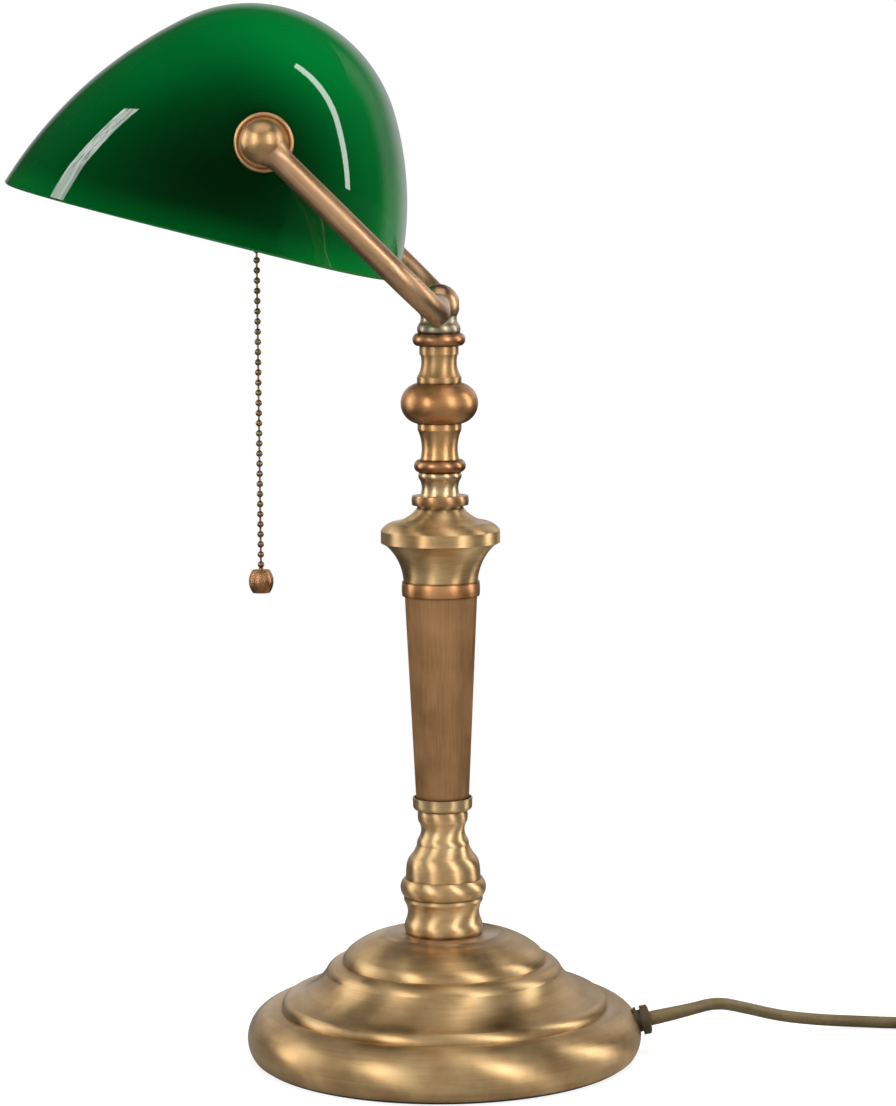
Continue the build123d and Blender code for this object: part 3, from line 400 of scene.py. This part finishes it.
# Opal bulb glass: faint grain in the coating
def opal_glass():
    net = Surface("opal_glass")
    place = net.place()
    haze = net.noise(place, scale=90.0, detail=3.0, rough=0.6)
    net.set(
        Base_Color=net.ramp(haze, (0.3, (0.82, 0.81, 0.76)), (0.7, (0.88, 0.87, 0.83))),
        Roughness=net.span(haze, 0.3, 0.7, 0.18, 0.28),
        Subsurface_Weight=0.15,
        Subsurface_Radius=(0.004, 0.0035, 0.003),
        Normal=net.bump(net.noise(place, scale=900.0), 0.03, GRAIN_DEPTH),
    )
    return net.material


FELT_PILE = 0.0006


# Felt: matted fibres
def felt():
    net = Surface("felt")
    place = net.place()
    fibre_at = net.vector("MULTIPLY", place, (1.0, 2.2, 1.0))
    fibre = net.noise(fibre_at, scale=1500.0, detail=5.0, rough=0.7)
    tufts = net.noise(place, scale=220.0, detail=3.0, rough=0.6)
    tone = net.weigh(fibre, 0.6, tufts, 0.4)
    net.set(
        Base_Color=net.ramp(tone, (0.3, (0.012, 0.020, 0.014)), (0.7, (0.04, 0.06, 0.045))),
        Roughness=0.95,
        Sheen_Weight=0.4,
        Sheen_Roughness=0.5,
        Normal=net.bump(tone, 0.6, FELT_PILE),
    )
    return net.material


# Heights at which the pieces of the stem meet
STACK = (
    "stem_vase", "column_cup", "collar_ring", "capital", "lower_neck", "lower_ring",
    "middle_neck", "stem_ball", "upper_neck", "upper_ring", "knuckle",
)
SEAMS = [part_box(name)[0].z for name in STACK]
CUP_SEAM, KNUCKLE_SEAM = SEAMS[1:2], SEAMS[-1:]

# One finish for each material slot
finishes = {
    "felt": felt(),
    "plate_steel": worn_metal(
        "painted_plate", (0.03, 0.03, 0.03), (0.07, 0.07, 0.07),
        roughness=0.5, scale=500.0, brush=0.2, metallic=0.0,
    ),
    "weight_iron": worn_metal(
        "cast_iron", (0.06, 0.06, 0.06), (0.16, 0.15, 0.14),
        roughness=0.7, scale=260.0, brush=0.6,
    ),
    "spun_brass": turned_brass(
        "spun_brass", (0.545, 0.335, 0.150), (0.81, 0.568, 0.290),
        roughness=0.42, gloss_turn=0.30, brush=0.02, seams=SEAMS,
    ),
    "column_brass": drawn_brass(
        "column_brass", (0.39, 0.203, 0.088), (0.555, 0.312, 0.148),
        roughness=0.5, grain=UP, brush=0.06, stretch=0.5,
    ),
    "copper_brass": turned_brass(
        "copper_brass", (0.46, 0.215, 0.08), (0.62, 0.33, 0.145),
        roughness=0.38, gloss_turn=0.28, stretch=0.4, seams=SEAMS,
    ),
    "neck_brass": turned_brass(
        "neck_brass", (0.53, 0.290, 0.116), (0.77, 0.460, 0.202),
        roughness=0.40, gloss_turn=0.28, stretch=0.6, seams=SEAMS,
    ),
    "yoke_brass": drawn_brass(
        "yoke_brass", (0.47, 0.28, 0.15), (0.58, 0.36, 0.20),
        roughness=0.4, grain=ALONG_ARM, brush=0.01,
    ),
    "steel": worn_metal(
        "zinc_steel", (0.38, 0.38, 0.36), (0.60, 0.60, 0.58), roughness=0.35,
    ),
    "pin_metal": worn_metal(
        "bright_pins", (0.46, 0.45, 0.42), (0.60, 0.59, 0.56),
        roughness=0.32, scale=120.0, brush=0.02, detail=1.0,
    ),
    "holder_brass": turned_brass(
        "holder_brass", (0.50, 0.34, 0.15), (0.68, 0.50, 0.26),
        roughness=0.26, gloss_turn=0.25, axis="Y", centre=PIVOT, brush=0.05,
    ),
    "insert": moulded(
        "holder_insert", (0.62, 0.60, 0.54), (0.76, 0.74, 0.68), roughness=0.5,
    ),
    "bulb": opal_glass(),
    "bulb_cap": worn_metal(
        "bulb_cap", (0.52, 0.52, 0.52), (0.70, 0.70, 0.70), roughness=0.3,
    ),
    "shade_green": green_glass(),
    "bush": turned_brass(
        "bush_brass", (0.40, 0.27, 0.12), (0.55, 0.40, 0.20),
        roughness=0.35, gloss_turn=0.25, axis="Y", centre=PIVOT,
    ),
    "gasket": moulded(
        "gasket_rubber", (0.02, 0.02, 0.02), (0.05, 0.05, 0.05), roughness=0.7,
    ),
    "chain_brass": worn_metal(
        "chain_brass", (0.22, 0.155, 0.092), (0.30, 0.215, 0.130),
        roughness=0.38, scale=90.0, brush=0.005, detail=0.0,
    ),
    "knob_brass": worn_metal(
        "knob_brass", (0.39, 0.193, 0.088), (0.49, 0.257, 0.122),
        roughness=0.40, scale=90.0, brush=0.005, detail=0.0,
    ),
    "cord": moulded(
        "cord_plastic", (0.094, 0.064, 0.0204), (0.159, 0.110, 0.0397),
        roughness=0.45, scale=900.0, brush=0.06,
    ),
    "gland": moulded(
        "gland_plastic", (0.038, 0.021, 0.0025), (0.074, 0.042, 0.0060), roughness=0.42,
    ),
    "tie": moulded(
        "tie_plastic", (0.02, 0.02, 0.02), (0.045, 0.045, 0.045), roughness=0.5,
    ),
    "plug": moulded(
        "plug_plastic", (0.096, 0.072, 0.030), (0.160, 0.123, 0.056), roughness=0.45,
    ),
}

# Nodes whose colour, patina and painted shade differ from those of their slot
base_brass = turned_brass(
    "base_brass", (0.45, 0.275, 0.122), (0.66, 0.46, 0.232),
    roughness=0.40, gloss_turn=0.30, stretch=0.81, brush=0.02, shade_and_patina=0.35,
    above=(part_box("base_shell")[1].z - 0.0010, (0.37, 0.225, 0.120), (0.55, 0.385, 0.225)),
)
yoke_turned = turned_brass(
    "yoke_turned", (0.46, 0.265, 0.12), (0.64, 0.40, 0.20),
    roughness=0.40, gloss_turn=0.25, axis="Y", centre=PIVOT, stretch=0.3, shade_and_patina=0.25,
)
pale_neck = turned_brass(
    "pale_neck", (0.34, 0.18, 0.08), (0.50, 0.30, 0.14),
    roughness=0.38, gloss_turn=0.29, stretch=0.6, seams=SEAMS,
    above=(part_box("lower_neck")[0].z + 0.0050, (0.58, 0.395, 0.207), (0.82, 0.60, 0.352)),
)
knuckle_brass = turned_brass(
    "knuckle_brass", (0.30, 0.25, 0.165), (0.46, 0.40, 0.28),
    roughness=0.36, gloss_turn=0.27, stretch=0.3, brush=0.01, seams=KNUCKLE_SEAM,
    above=(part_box("knuckle")[0].z + 0.0072, (0.48, 0.285, 0.14), (0.66, 0.43, 0.23)),
)
ring_copper = turned_brass(
    "ring_copper", (0.40, 0.185, 0.078), (0.54, 0.285, 0.135),
    roughness=0.36, gloss_turn=0.28, stretch=0.4, seams=SEAMS,
)
upper_brass = turned_brass(
    "upper_brass", (0.40, 0.225, 0.095), (0.58, 0.36, 0.165),
    roughness=0.40, gloss_turn=0.28, stretch=0.6, seams=SEAMS,
)
pale_cup = turned_brass(
    "pale_cup", (0.46, 0.30, 0.14), (0.66, 0.47, 0.25),
    roughness=0.38, gloss_turn=0.28, seams=CUP_SEAM,
)
special = {
    "end_ball_near": yoke_turned,
    "end_ball_far": yoke_turned,
    "rosette_near": yoke_turned,
    "rosette_far": yoke_turned,
    "base_shell": base_brass,
    "lower_neck": pale_neck,
    "knuckle": knuckle_brass,
    "upper_ring": ring_copper,
    "lower_ring": ring_copper,
    "upper_neck": upper_brass,
    "column_cup": pale_cup,
}
for part in frame["record"]["subparts"]:
    name = part["node"]
    nodes[name].material_slots[0].material = special.get(name, finishes[part["material_slot"]])


# A finished mesh becomes a piece that rides on a body
def piece(name, bm, body, slot, *materials):
    bmesh.ops.recalc_face_normals(bm, faces=bm.faces)
    mesh = bpy.data.meshes.new(name)
    bm.to_mesh(mesh)
    bm.free()
    mesh.shade_smooth()
    mesh.set_sharp_from_angle(angle=math.radians(40))
    for material in materials:
        mesh.materials.append(material)
    obj = bpy.data.objects.new(name, mesh)
    scene.collection.objects.link(obj)
    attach(obj, body)
    return obj


# Angles of the corners round a loop
def circle(sides):
    return [2 * math.pi * k / sides for k in range(sides)]


# Faces between two rows of points, closed to loops or left open
def bridge(bm, a, b, index=0, closed=True):
    for i in range(len(a) if closed else len(a) - 1):
        k = (i + 1) % len(a)
        bm.faces.new((a[i], a[k], b[k], b[i])).material_index = index


# A skin along a row of loops, with flat ends unless it joins up with itself
def cover(bm, loops, ends=True):
    for a, b in zip(loops, loops[1:]):
        bridge(bm, a, b)
    if ends:
        bm.faces.new(loops[0])
        bm.faces.new(loops[-1])


def smoothstep(x):
    x = min(1.0, max(0.0, x))
    return x * x * (3 - 2 * x)


# The mains cord: one smooth line from the gland to the plug, most of it wound in a tied coil
CORD_DIAMETER = 0.005
LEAD_MM = (
    (85.43, 0, 13.84), (101.08, 0, 17.17), (113.5, 4.5, 19.5), (127, 14.5, 14.2),
    (142, 24.5, 8.2), (160, 33.5, 4.0), (176.5, 36.3, 2.5), (192.5, 33, 2.5),
    (208.5, 28, 4.0), (227, 28, 4.0),
)
TAIL_MM = (
    (268, -13, 20.5), (268, -26, 20.5), (268.8, -40, 15.6), (268.4, -54, 9.8),
    (268, -67, 6.85), (268, -79, 6.85),
)
COIL_X_MM, COIL_Y_MM, COIL_LOW_MM = 232, -8, 4.0
COIL_RADIUS_MM, COIL_INWARD_MM, LAYER_RISE_MM = 36, 11.6, 5.5
LAYERS, LAYER_QUARTERS, QUARTER_STEPS = 4, 8.25, 6


def cord_route():
    coil = []
    for i in range(int(LAYERS * LAYER_QUARTERS) * QUARTER_STEPS + 1):
        quarter = i / QUARTER_STEPS
        turn = math.radians(90 - 90 * quarter)
        level = min(LAYERS - 1, int(quarter / LAYER_QUARTERS))
        share = quarter / LAYER_QUARTERS - level
        radius = COIL_RADIUS_MM - COIL_INWARD_MM * (share if level % 2 == 0 else 1 - share)
        rise = sum(
            smoothstep((quarter - k * LAYER_QUARTERS + 1) / 2) for k in range(1, LAYERS)
        )
        coil.append((
            COIL_X_MM + radius * math.cos(turn),
            COIL_Y_MM + radius * math.sin(turn),
            COIL_LOW_MM + LAYER_RISE_MM * rise,
        ))
    return [tuple(0.001 * c for c in p) for p in (*LEAD_MM, *coil, *TAIL_MM)]


def cord_curve(name, route, thickness):
    data = bpy.data.curves.new(name, "CURVE")
    data.dimensions = "3D"
    spline = data.splines.new("NURBS")
    spline.points.add(len(route) - 1)
    for point, place in zip(spline.points, route):
        point.co = (*place, 1.0)
    spline.order_u = 3
    spline.use_endpoint_u = True
    spline.resolution_u = 6
    data.bevel_depth = thickness / 2
    data.bevel_resolution = 5
    data.use_fill_caps = thickness > 0
    cord = bpy.data.objects.new(name, data)
    scene.collection.objects.link(cord)
    return cord


# Points along the middle of the cord, read from a curve without thickness
def spline_points(route):
    probe = cord_curve("probe", route, 0.0)
    bpy.context.view_layer.update()
    settled = probe.evaluated_get(bpy.context.evaluated_depsgraph_get())
    mesh = bpy.data.meshes.new_from_object(settled)
    points = [v.co.copy() for v in mesh.vertices]
    bpy.data.meshes.remove(mesh)
    bpy.data.objects.remove(probe)
    return points


# A tapered sleeve along the first stretch of the given points, with shallow rings
def sleeve(name, points, length, start_radius, end_radius, rings, slot):
    sides, steps = 28, 120
    first_ring, last_ring, ring_depth = 0.12, 0.9, 0.00045
    spans = [(b - a).length for a, b in zip(points, points[1:])]

    def at(distance):
        for a, b, span in zip(points, points[1:], spans):
            if distance <= span:
                return a.lerp(b, distance / span), (b - a).normalized()
            distance -= span
        return points[-1], (points[-1] - points[-2]).normalized()

    bm = bmesh.new()
    loops = []
    for i in range(steps + 1):
        share = i / steps
        centre, along = at(share * length)
        side = along.cross(UP).normalized()
        up = side.cross(along)
        radius = start_radius + (end_radius - start_radius) * smoothstep(share)
        if rings and first_ring < share < last_ring:
            turn = 2 * math.pi * rings * (share - first_ring) / (last_ring - first_ring)
            radius -= ring_depth * (1 - share) * (0.5 - 0.5 * math.cos(turn)) ** 3
        loops.append([
            bm.verts.new(centre + radius * (math.cos(t) * side + math.sin(t) * up))
            for t in circle(sides)
        ])
    cover(bm, loops)
    return piece(name, bm, "base", slot, finishes[slot])


# The shade's section: three arcs from the front rim over the crown to the back rim
ARC_TURNS_DEGREES = (71.8, 39.6, -59.9, -89.8)
ARC_STEPS = (26, 52, 18)
FRONT_RADIUS, CROWN_RADIUS = 0.17577, 0.058446
RIM_STEPS, RIM_ROUND = 8, 0.0009
FLAT_RIM = RIM_BELOW - RIM_ROUND
# The shade's ends: a superellipse along the pivot axis, cut off to a flat with a hole in it
GLASS_WALL, GLASS_REACH, HOLE_RADIUS = 0.0036, 0.1102, 0.0057
END_POWER, END_SIZE = 2.8, 0.22
HALF_ROWS, ROW_SPREAD = 44, 1.4
BOTTOM_SPANS, END_RINGS, EDGE_RINGS, GREEN_EDGE_RINGS = 13, 8, 6, 2


# One section, in the plane across the pivot axis and measured from the pivot
def shade_line(scale, inset):
    turns = [math.radians(a) for a in ARC_TURNS_DEGREES]
    first, last = turns[0], turns[-1]
    rise = FRONT_RADIUS * (math.cos(turns[1]) - math.cos(first))
    fall = CROWN_RADIUS * (math.cos(turns[1]) - math.cos(turns[2]))
    back_radius = (rise - fall) / (math.cos(turns[2]) - math.cos(last))
    radii = (FRONT_RADIUS, CROWN_RADIUS, back_radius)
    rim = Vector((-RIM_DEPTH + inset * math.sin(first), -RIM_BELOW - inset * math.cos(first)))
    at = scale * rim
    drop = max(0.0, at.y + FLAT_RIM) / math.sin(first)
    along = Vector((math.cos(first), math.sin(first)))
    points = [at - drop * (1 - i / RIM_STEPS) * along for i in range(RIM_STEPS)]
    for radius, start, end, steps in zip(radii, turns, turns[1:], ARC_STEPS):
        radius = (radius - inset) * scale
        centre = at + radius * Vector((math.sin(start), -math.cos(start)))
        for i in range(steps):
            angle = start + (end - start) * i / steps
            points.append(centre - radius * Vector((math.sin(angle), -math.cos(angle))))
        at = centre - radius * Vector((math.sin(end), -math.cos(end)))
    drop = max(0.0, at.y + FLAT_RIM) / -math.sin(last)
    along = Vector((math.cos(last), math.sin(last)))
    points += [at + drop * i / RIM_STEPS * along for i in range(RIM_STEPS + 1)]
    return [Vector((p.x, max(p.y, -FLAT_RIM))) for p in points]


# The glass shade, green outside and white inside, with a rounded rim and a hole at each pivot
def add_shade():
    bm = bmesh.new()
    power = 2 / END_POWER
    end_reach = (1 - END_SIZE ** END_POWER) ** (1 / END_POWER)
    widest = math.acos(END_SIZE ** (1 / power))
    turns = [widest * (i / HALF_ROWS) ** ROW_SPREAD for i in range(HALF_ROWS + 1)]
    half = [(math.sin(t) ** power, math.cos(t) ** power) for t in turns]
    places = [(-y, size) for y, size in reversed(half[1:])] + half

    def spots(line, y):
        across = Vector((0.0, y, 0.0))
        return [bm.verts.new(PIVOT + SHADE_X * p.x + SHADE_Y * p.y + across) for p in line]

    # One skin of the glass: returns the loop along its rim and the loops round its holes
    def skin(inset, half_length, index):
        lines = [shade_line(size, inset) for y, size in places]
        rows = [spots(line, y * half_length) for line, (y, size) in zip(lines, places)]
        for a, b in zip(rows, rows[1:]):
            bridge(bm, a, b, index, closed=False)
        bottoms, holes = [], []
        for end in (0, -1):
            line, y = lines[end], places[end][0] * half_length
            bottom = [line[0].lerp(line[-1], i / BOTTOM_SPANS) for i in range(1, BOTTOM_SPANS)]
            bottoms.append(spots(bottom, y))
            loop, flat = rows[end] + bottoms[-1][::-1], line + bottom[::-1]
            for ring in range(1, END_RINGS + 1):
                share = ring / END_RINGS
                inner = spots([p.lerp(p.normalized() * HOLE_RADIUS, share) for p in flat], y)
                bridge(bm, loop, inner, index)
                loop = inner
            holes.append(loop)
        front, back = [row[0] for row in rows], [row[-1] for row in reversed(rows)]
        return front + bottoms[1] + back + bottoms[0][::-1], holes

    outer, outer_holes = skin(0.0, GLASS_REACH / end_reach, 0)
    inner, inner_holes = skin(GLASS_WALL, (GLASS_REACH - GLASS_WALL) / end_reach, 1)
    loop = outer
    for ring in range(1, EDGE_RINGS + 1):
        share = ring / EDGE_RINGS
        sunk = SHADE_Y * -RIM_ROUND * math.sqrt(1 - (2 * share - 1) ** 2)
        ahead = inner
        if ring < EDGE_RINGS:
            ahead = [bm.verts.new(a.co.lerp(b.co, share) + sunk) for a, b in zip(outer, inner)]
        bridge(bm, loop, ahead, int(ring > GREEN_EDGE_RINGS))
        loop = ahead
    for a, b in zip(outer_holes, inner_holes):
        bridge(bm, a, b)
    shade = piece("cased_shade", bm, "shade", "shade_green", finishes["shade_green"], milk_glass())
    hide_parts("shade_glass")
    return shade


# A flared root where each arm leaves its end ball: distance along the arm and radius
ROOT_START, ROOT_BEND, ROOT_END = (
    Vector((0.0052, 0.0063)), Vector((0.0076, 0.0047)), Vector((0.0125, 0.00472)),
)
BALL_REACH = 0.122


def add_root(name, side):
    bm = bmesh.new()
    ball = PIVOT + Vector((0.0, side * BALL_REACH, 0.0))
    along = -ALONG_ARM.normalized()
    up = along.cross(ACROSS)
    sides, steps, loops = 48, 18, []
    for i in range(steps + 1):
        t = i / steps
        reach, radius = (1 - t) ** 2 * ROOT_START + 2 * t * (1 - t) * ROOT_BEND + t * t * ROOT_END
        loops.append([
            bm.verts.new(ball + along * reach + radius * (math.sin(a) * up + math.cos(a) * ACROSS))
            for a in circle(sides)
        ])
    cover(bm, loops)
    return piece(name, bm, "yoke", "yoke_brass", finishes["yoke_brass"])


# A strap drawn tight round the coil's turns, its end lapped over the top.
# Section: distance to the side and outwards from the turns
STRAP_SECTION_MM = (
    (-3.3, 0.1), (3.3, 0.1), (3.6, 0.3), (3.6, 0.6),
    (3.3, 0.8), (-3.3, 0.8), (-3.6, 0.6), (-3.6, 0.3),
)
ROUND_DEGREES, LAP_DEGREES, STRAP_STEP_DEGREES = (-90, 270), (10, 215), 5
LAP_LIFT = 0.00075
SAME_POINT = 1e-7


def add_strap(points):
    low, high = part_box("cord_tie")
    coil = Vector((0.001 * COIL_X_MM, 0.001 * COIL_Y_MM, 0.0))
    tie_x, tie_y = (low.x + high.x) / 2, (low.y + high.y) / 2
    out = Vector((tie_x - coil.x, tie_y - coil.y, 0.0)).normalized()
    along = Vector((-out.y, out.x, 0.0))
    turns = []
    for a, b in zip(points, points[1:]):
        before, after = (a - coil).dot(along), (b - coil).dot(along)
        if before * after <= 0.0 and before != after:
            place = a.lerp(b, before / (before - after))
            if (place - coil).dot(out) > 0.0:
                turns.append(Vector(((place - coil).dot(out), place.z)))
    bm = bmesh.new()
    for (first, last), lift in ((ROUND_DEGREES, 0.0), (LAP_DEGREES, LAP_LIFT)):
        loops = []
        for degrees in range(first, last + 1, STRAP_STEP_DEGREES):
            turn = math.radians(degrees)
            way = Vector((math.cos(turn), math.sin(turn)))
            corner = max(turns, key=way.dot)
            loop = []
            for side, gap in STRAP_SECTION_MM:
                spot = corner + way * (CORD_DIAMETER / 2 + lift + 0.001 * gap)
                loop.append(
                    bm.verts.new(coil + out * spot.x + along * side * 0.001 + UP * spot.y)
                )
            loops.append(loop)
        cover(bm, loops, ends=last - first < 360)
    bmesh.ops.remove_doubles(bm, verts=bm.verts, dist=SAME_POINT)
    strap = piece("tie_strap", bm, "base", "tie", finishes["tie"])
    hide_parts("cord_tie")
    return strap


# Grip ribs across the top of the plug, shorter towards the cord
RIBS, RIB_PITCH, FIRST_RIB = 5, 0.0034, 0.012
FIRST_REACH, REACH_STEP = 0.0058, 0.0011
RIB_WIDTH, RIB_HEIGHT, RIB_TIP = 0.0009, 0.0006, 0.02


def add_grip():
    bm = bmesh.new()
    low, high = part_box("plug_body")
    middle = (low.x + high.x) / 2
    steps, sides = 16, 10
    for rib in range(RIBS):
        y = high.y - FIRST_RIB - RIB_PITCH * rib
        reach = FIRST_REACH + REACH_STEP * rib
        loops = []
        for i in range(steps + 1):
            share = 2 * i / steps - 1
            size = math.sqrt(max(0.0, 1 - abs(share) ** 6)) + RIB_TIP
            loops.append([
                bm.verts.new((
                    middle + reach * share,
                    y + RIB_WIDTH * size * math.cos(t),
                    high.z + RIB_HEIGHT * size * math.sin(t),
                ))
                for t in circle(sides)
            ])
        cover(bm, loops)
    return piece("plug_grip", bm, "base", "plug", finishes["plug"])


add_camera()
add_root("arm_root_near", -1)
add_root("arm_root_far", 1)
shade = add_shade()
route = cord_route()
line = spline_points(route)
cord = cord_curve("mains_cord", route, CORD_DIAMETER)
cord.data.materials.append(finishes["cord"])
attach(cord, "base")
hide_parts("power_cord", "cord_coil", "cord_tail")
gland_sleeve = sleeve(
    "gland_sleeve", line, length=0.022, start_radius=0.0030, end_radius=0.00252,
    rings=0, slot="cord",
)
plug_sleeve = sleeve(
    "plug_sleeve", line[::-1], length=0.030, start_radius=0.0042, end_radius=0.0027,
    rings=8, slot="plug",
)
strap = add_strap(line)
grip = add_grip()

# Studio: pale floor, white surroundings, soft lights
FLOOR_HALF, FLOOR_DROP = 6, 0.0002
FLOOR_CENTRE = (0.06, 0.0, 0.0)
FLOOR_NEAR, FLOOR_FAR = 0.12, 0.42
FLOOR_GREY = (0.30, 0.30, 0.30, 1.0)


def add_floor():
    mesh = bpy.data.meshes.new("floor")
    corners = [(x * FLOOR_HALF, y * FLOOR_HALF, 0) for x, y in ((-1, -1), (1, -1), (1, 1), (-1, 1))]
    mesh.from_pydata(corners, [], [(0, 1, 2, 3)])
    floor = bpy.data.objects.new("floor", mesh)
    floor.location.z = -FLOOR_DROP
    scene.collection.objects.link(floor)
    net = Surface("pale_floor")
    net.tree.nodes.remove(net.bsdf)
    away = net.vector("LENGTH", net.place(FLOOR_CENTRE))
    far = net.span(away, FLOOR_NEAR, FLOOR_FAR)
    paths = net.add("LightPath").outputs
    seen = net.math("MAXIMUM", paths["Is Camera Ray"], paths["Is Glossy Ray"])
    seen = net.math("MAXIMUM", seen, paths["Is Transmission Ray"])

    # Light from the floor itself, weaker in reflections
    def glow(level):
        node = net.add("Emission")
        net.feed(node.inputs["Strength"], net.span(paths["Is Glossy Ray"], 0.0, 1.0, level, 0.05))
        return node.outputs[0]

    matt = net.add("BsdfDiffuse")
    net.feed(matt.inputs["Color"], FLOOR_GREY)
    near = net.add("AddShader")
    net.feed(near.inputs[0], glow(0.80))
    net.feed(near.inputs[1], matt.outputs[0])
    pale = net.mix_shader(far, near.outputs[0], glow(1.0))
    net.feed(net.out.inputs[0], net.mix_shader(seen, matt.outputs[0], pale))
    mesh.materials.append(net.material)


# White to look at, dim as a light, and in reflections grey straight behind and dark elsewhere
def add_world():
    world = bpy.data.worlds.new("studio")
    world.use_nodes = True
    net = Net(world.node_tree)
    net.tree.nodes.clear()
    parts = net.split(net.add("TexCoord").outputs["Generated"])
    behind = net.span(parts[1], 0.90, 1.0, 0.02, 0.40)
    above = net.span(parts[2], 0.35, 0.75, 1.0, 0.25)
    paths = net.add("LightPath").outputs
    gloss = net.math("MAXIMUM", paths["Is Glossy Ray"], paths["Is Transmission Ray"])
    level = net.mix_level(gloss, 0.03, net.math("MULTIPLY", behind, above))
    background = net.add("Background")
    net.feed(background.inputs["Color"], (1.0, 1.0, 1.0, 1.0))
    net.feed(background.inputs["Strength"], net.mix_level(paths["Is Camera Ray"], level, 1.0))
    net.feed(net.add("OutputWorld").inputs[0], background.outputs[0])
    scene.world = world


# The face of a lamp: creased cloth, or soft towards two edges
def dress(data, cloth):
    data.use_nodes = True
    net = Net(data.node_tree)
    place = net.add("NewGeometry").outputs["Parametric"]
    if cloth == "creased":
        folds = net.noise(place, scale=7.0, detail=4.0, warp=1.8)
        depth = net.span(folds, 0.42, 0.54, 0.45, 1.15, smooth=False)
    else:
        from_edge = net.math("PINGPONG", net.split(place)[0], 0.5)
        depth = net.span(from_edge, 0.0, 0.45)
    net.feed(net.tree.nodes["Emission"].inputs["Strength"], depth)


# A rectangular lamp of the given radiance, which lights only what its receivers name
def add_light(
    name, place, aim, size, radiance, receivers=None, glossy=True, diffuse=True, cloth=None,
):
    data = bpy.data.lights.new(name, "AREA")
    data.shape = "RECTANGLE"
    data.size, data.size_y = size
    data.energy = radiance * math.pi * size[0] * size[1]
    lamp = bpy.data.objects.new(name, data)
    lamp.location = place
    lamp.rotation_mode = "QUATERNION"
    lamp.rotation_quaternion = (Vector(aim) - Vector(place)).to_track_quat("-Z", "Y")
    lamp.visible_glossy = glossy
    lamp.visible_diffuse = diffuse
    lamp.visible_camera = False
    scene.collection.objects.link(lamp)
    if receivers is not None:
        lamp.light_linking.receiver_collection = receivers
    if cloth:
        dress(data, cloth)


add_floor()
add_world()
only_glass = bpy.data.collections.new("only_glass")
only_glass.objects.link(shade)
no_glass = bpy.data.collections.new("no_glass")
no_glass.objects.link(shade)
no_glass.collection_objects[0].light_linking.link_state = "EXCLUDE"

CENTRE = (-0.03, 0.0, 0.22)
add_light("overhead", (0.0, 0.15, 1.8), CENTRE, (1.4, 1.4), 4.4, glossy=False)
add_light("overhead_metal", (0.0, -0.3, 1.8), CENTRE, (1.6, 1.4), 1.3, no_glass)
add_light(
    "strip_right", (0.86, -0.14, 0.90), (-0.04, -0.10, 0.375), (0.17, 1.42), 10.0, only_glass,
)
add_light(
    "strip_left", (-1.05, -0.20, 0.84), (-0.10, -0.10, 0.375), (0.26, 0.70), 9.0, only_glass,
    diffuse=False, cloth="creased",
)
add_light(
    "edge_right", (0.95, 1.65, 0.50), (0.0, 0.0, 0.38), (1.1, 1.8), 0.18, only_glass,
    cloth="soft",
)
add_light("rear_right", (1.3, 1.6, 1.3), CENTRE, (1.5, 1.5), 0.7, no_glass)
add_light("rear_left", (-1.3, 1.6, 1.3), CENTRE, (1.5, 1.5), 0.4, no_glass)
add_light("back_low", (0.0, 2.2, 0.5), CENTRE, (4.4, 1.6), 0.48, no_glass)
add_light("front_fill", (0.0, -2.2, 0.9), CENTRE, (2.4, 1.8), 0.75, no_glass)
for kind, (x, y, z), size, radiance in (
    ("front", (0.85, -1.1, 0.70), (0.30, 1.2), 7.0),
    ("side", (1.4, 0.25, 0.6), (0.3, 1.2), 6.0),
    ("wrap", (2.0, -0.7, 1.0), (2.2, 2.0), 0.38),
):
    add_light(kind + "_left", (-x, y, z), CENTRE, size, radiance, no_glass)
    add_light(kind + "_right", (x, y, z), CENTRE, size, radiance, no_glass)
add_light("wrap_low", (0.0, -0.9, 0.01), (0.0, -0.9, 1.0), (2.2, 1.3), 0.35, no_glass)
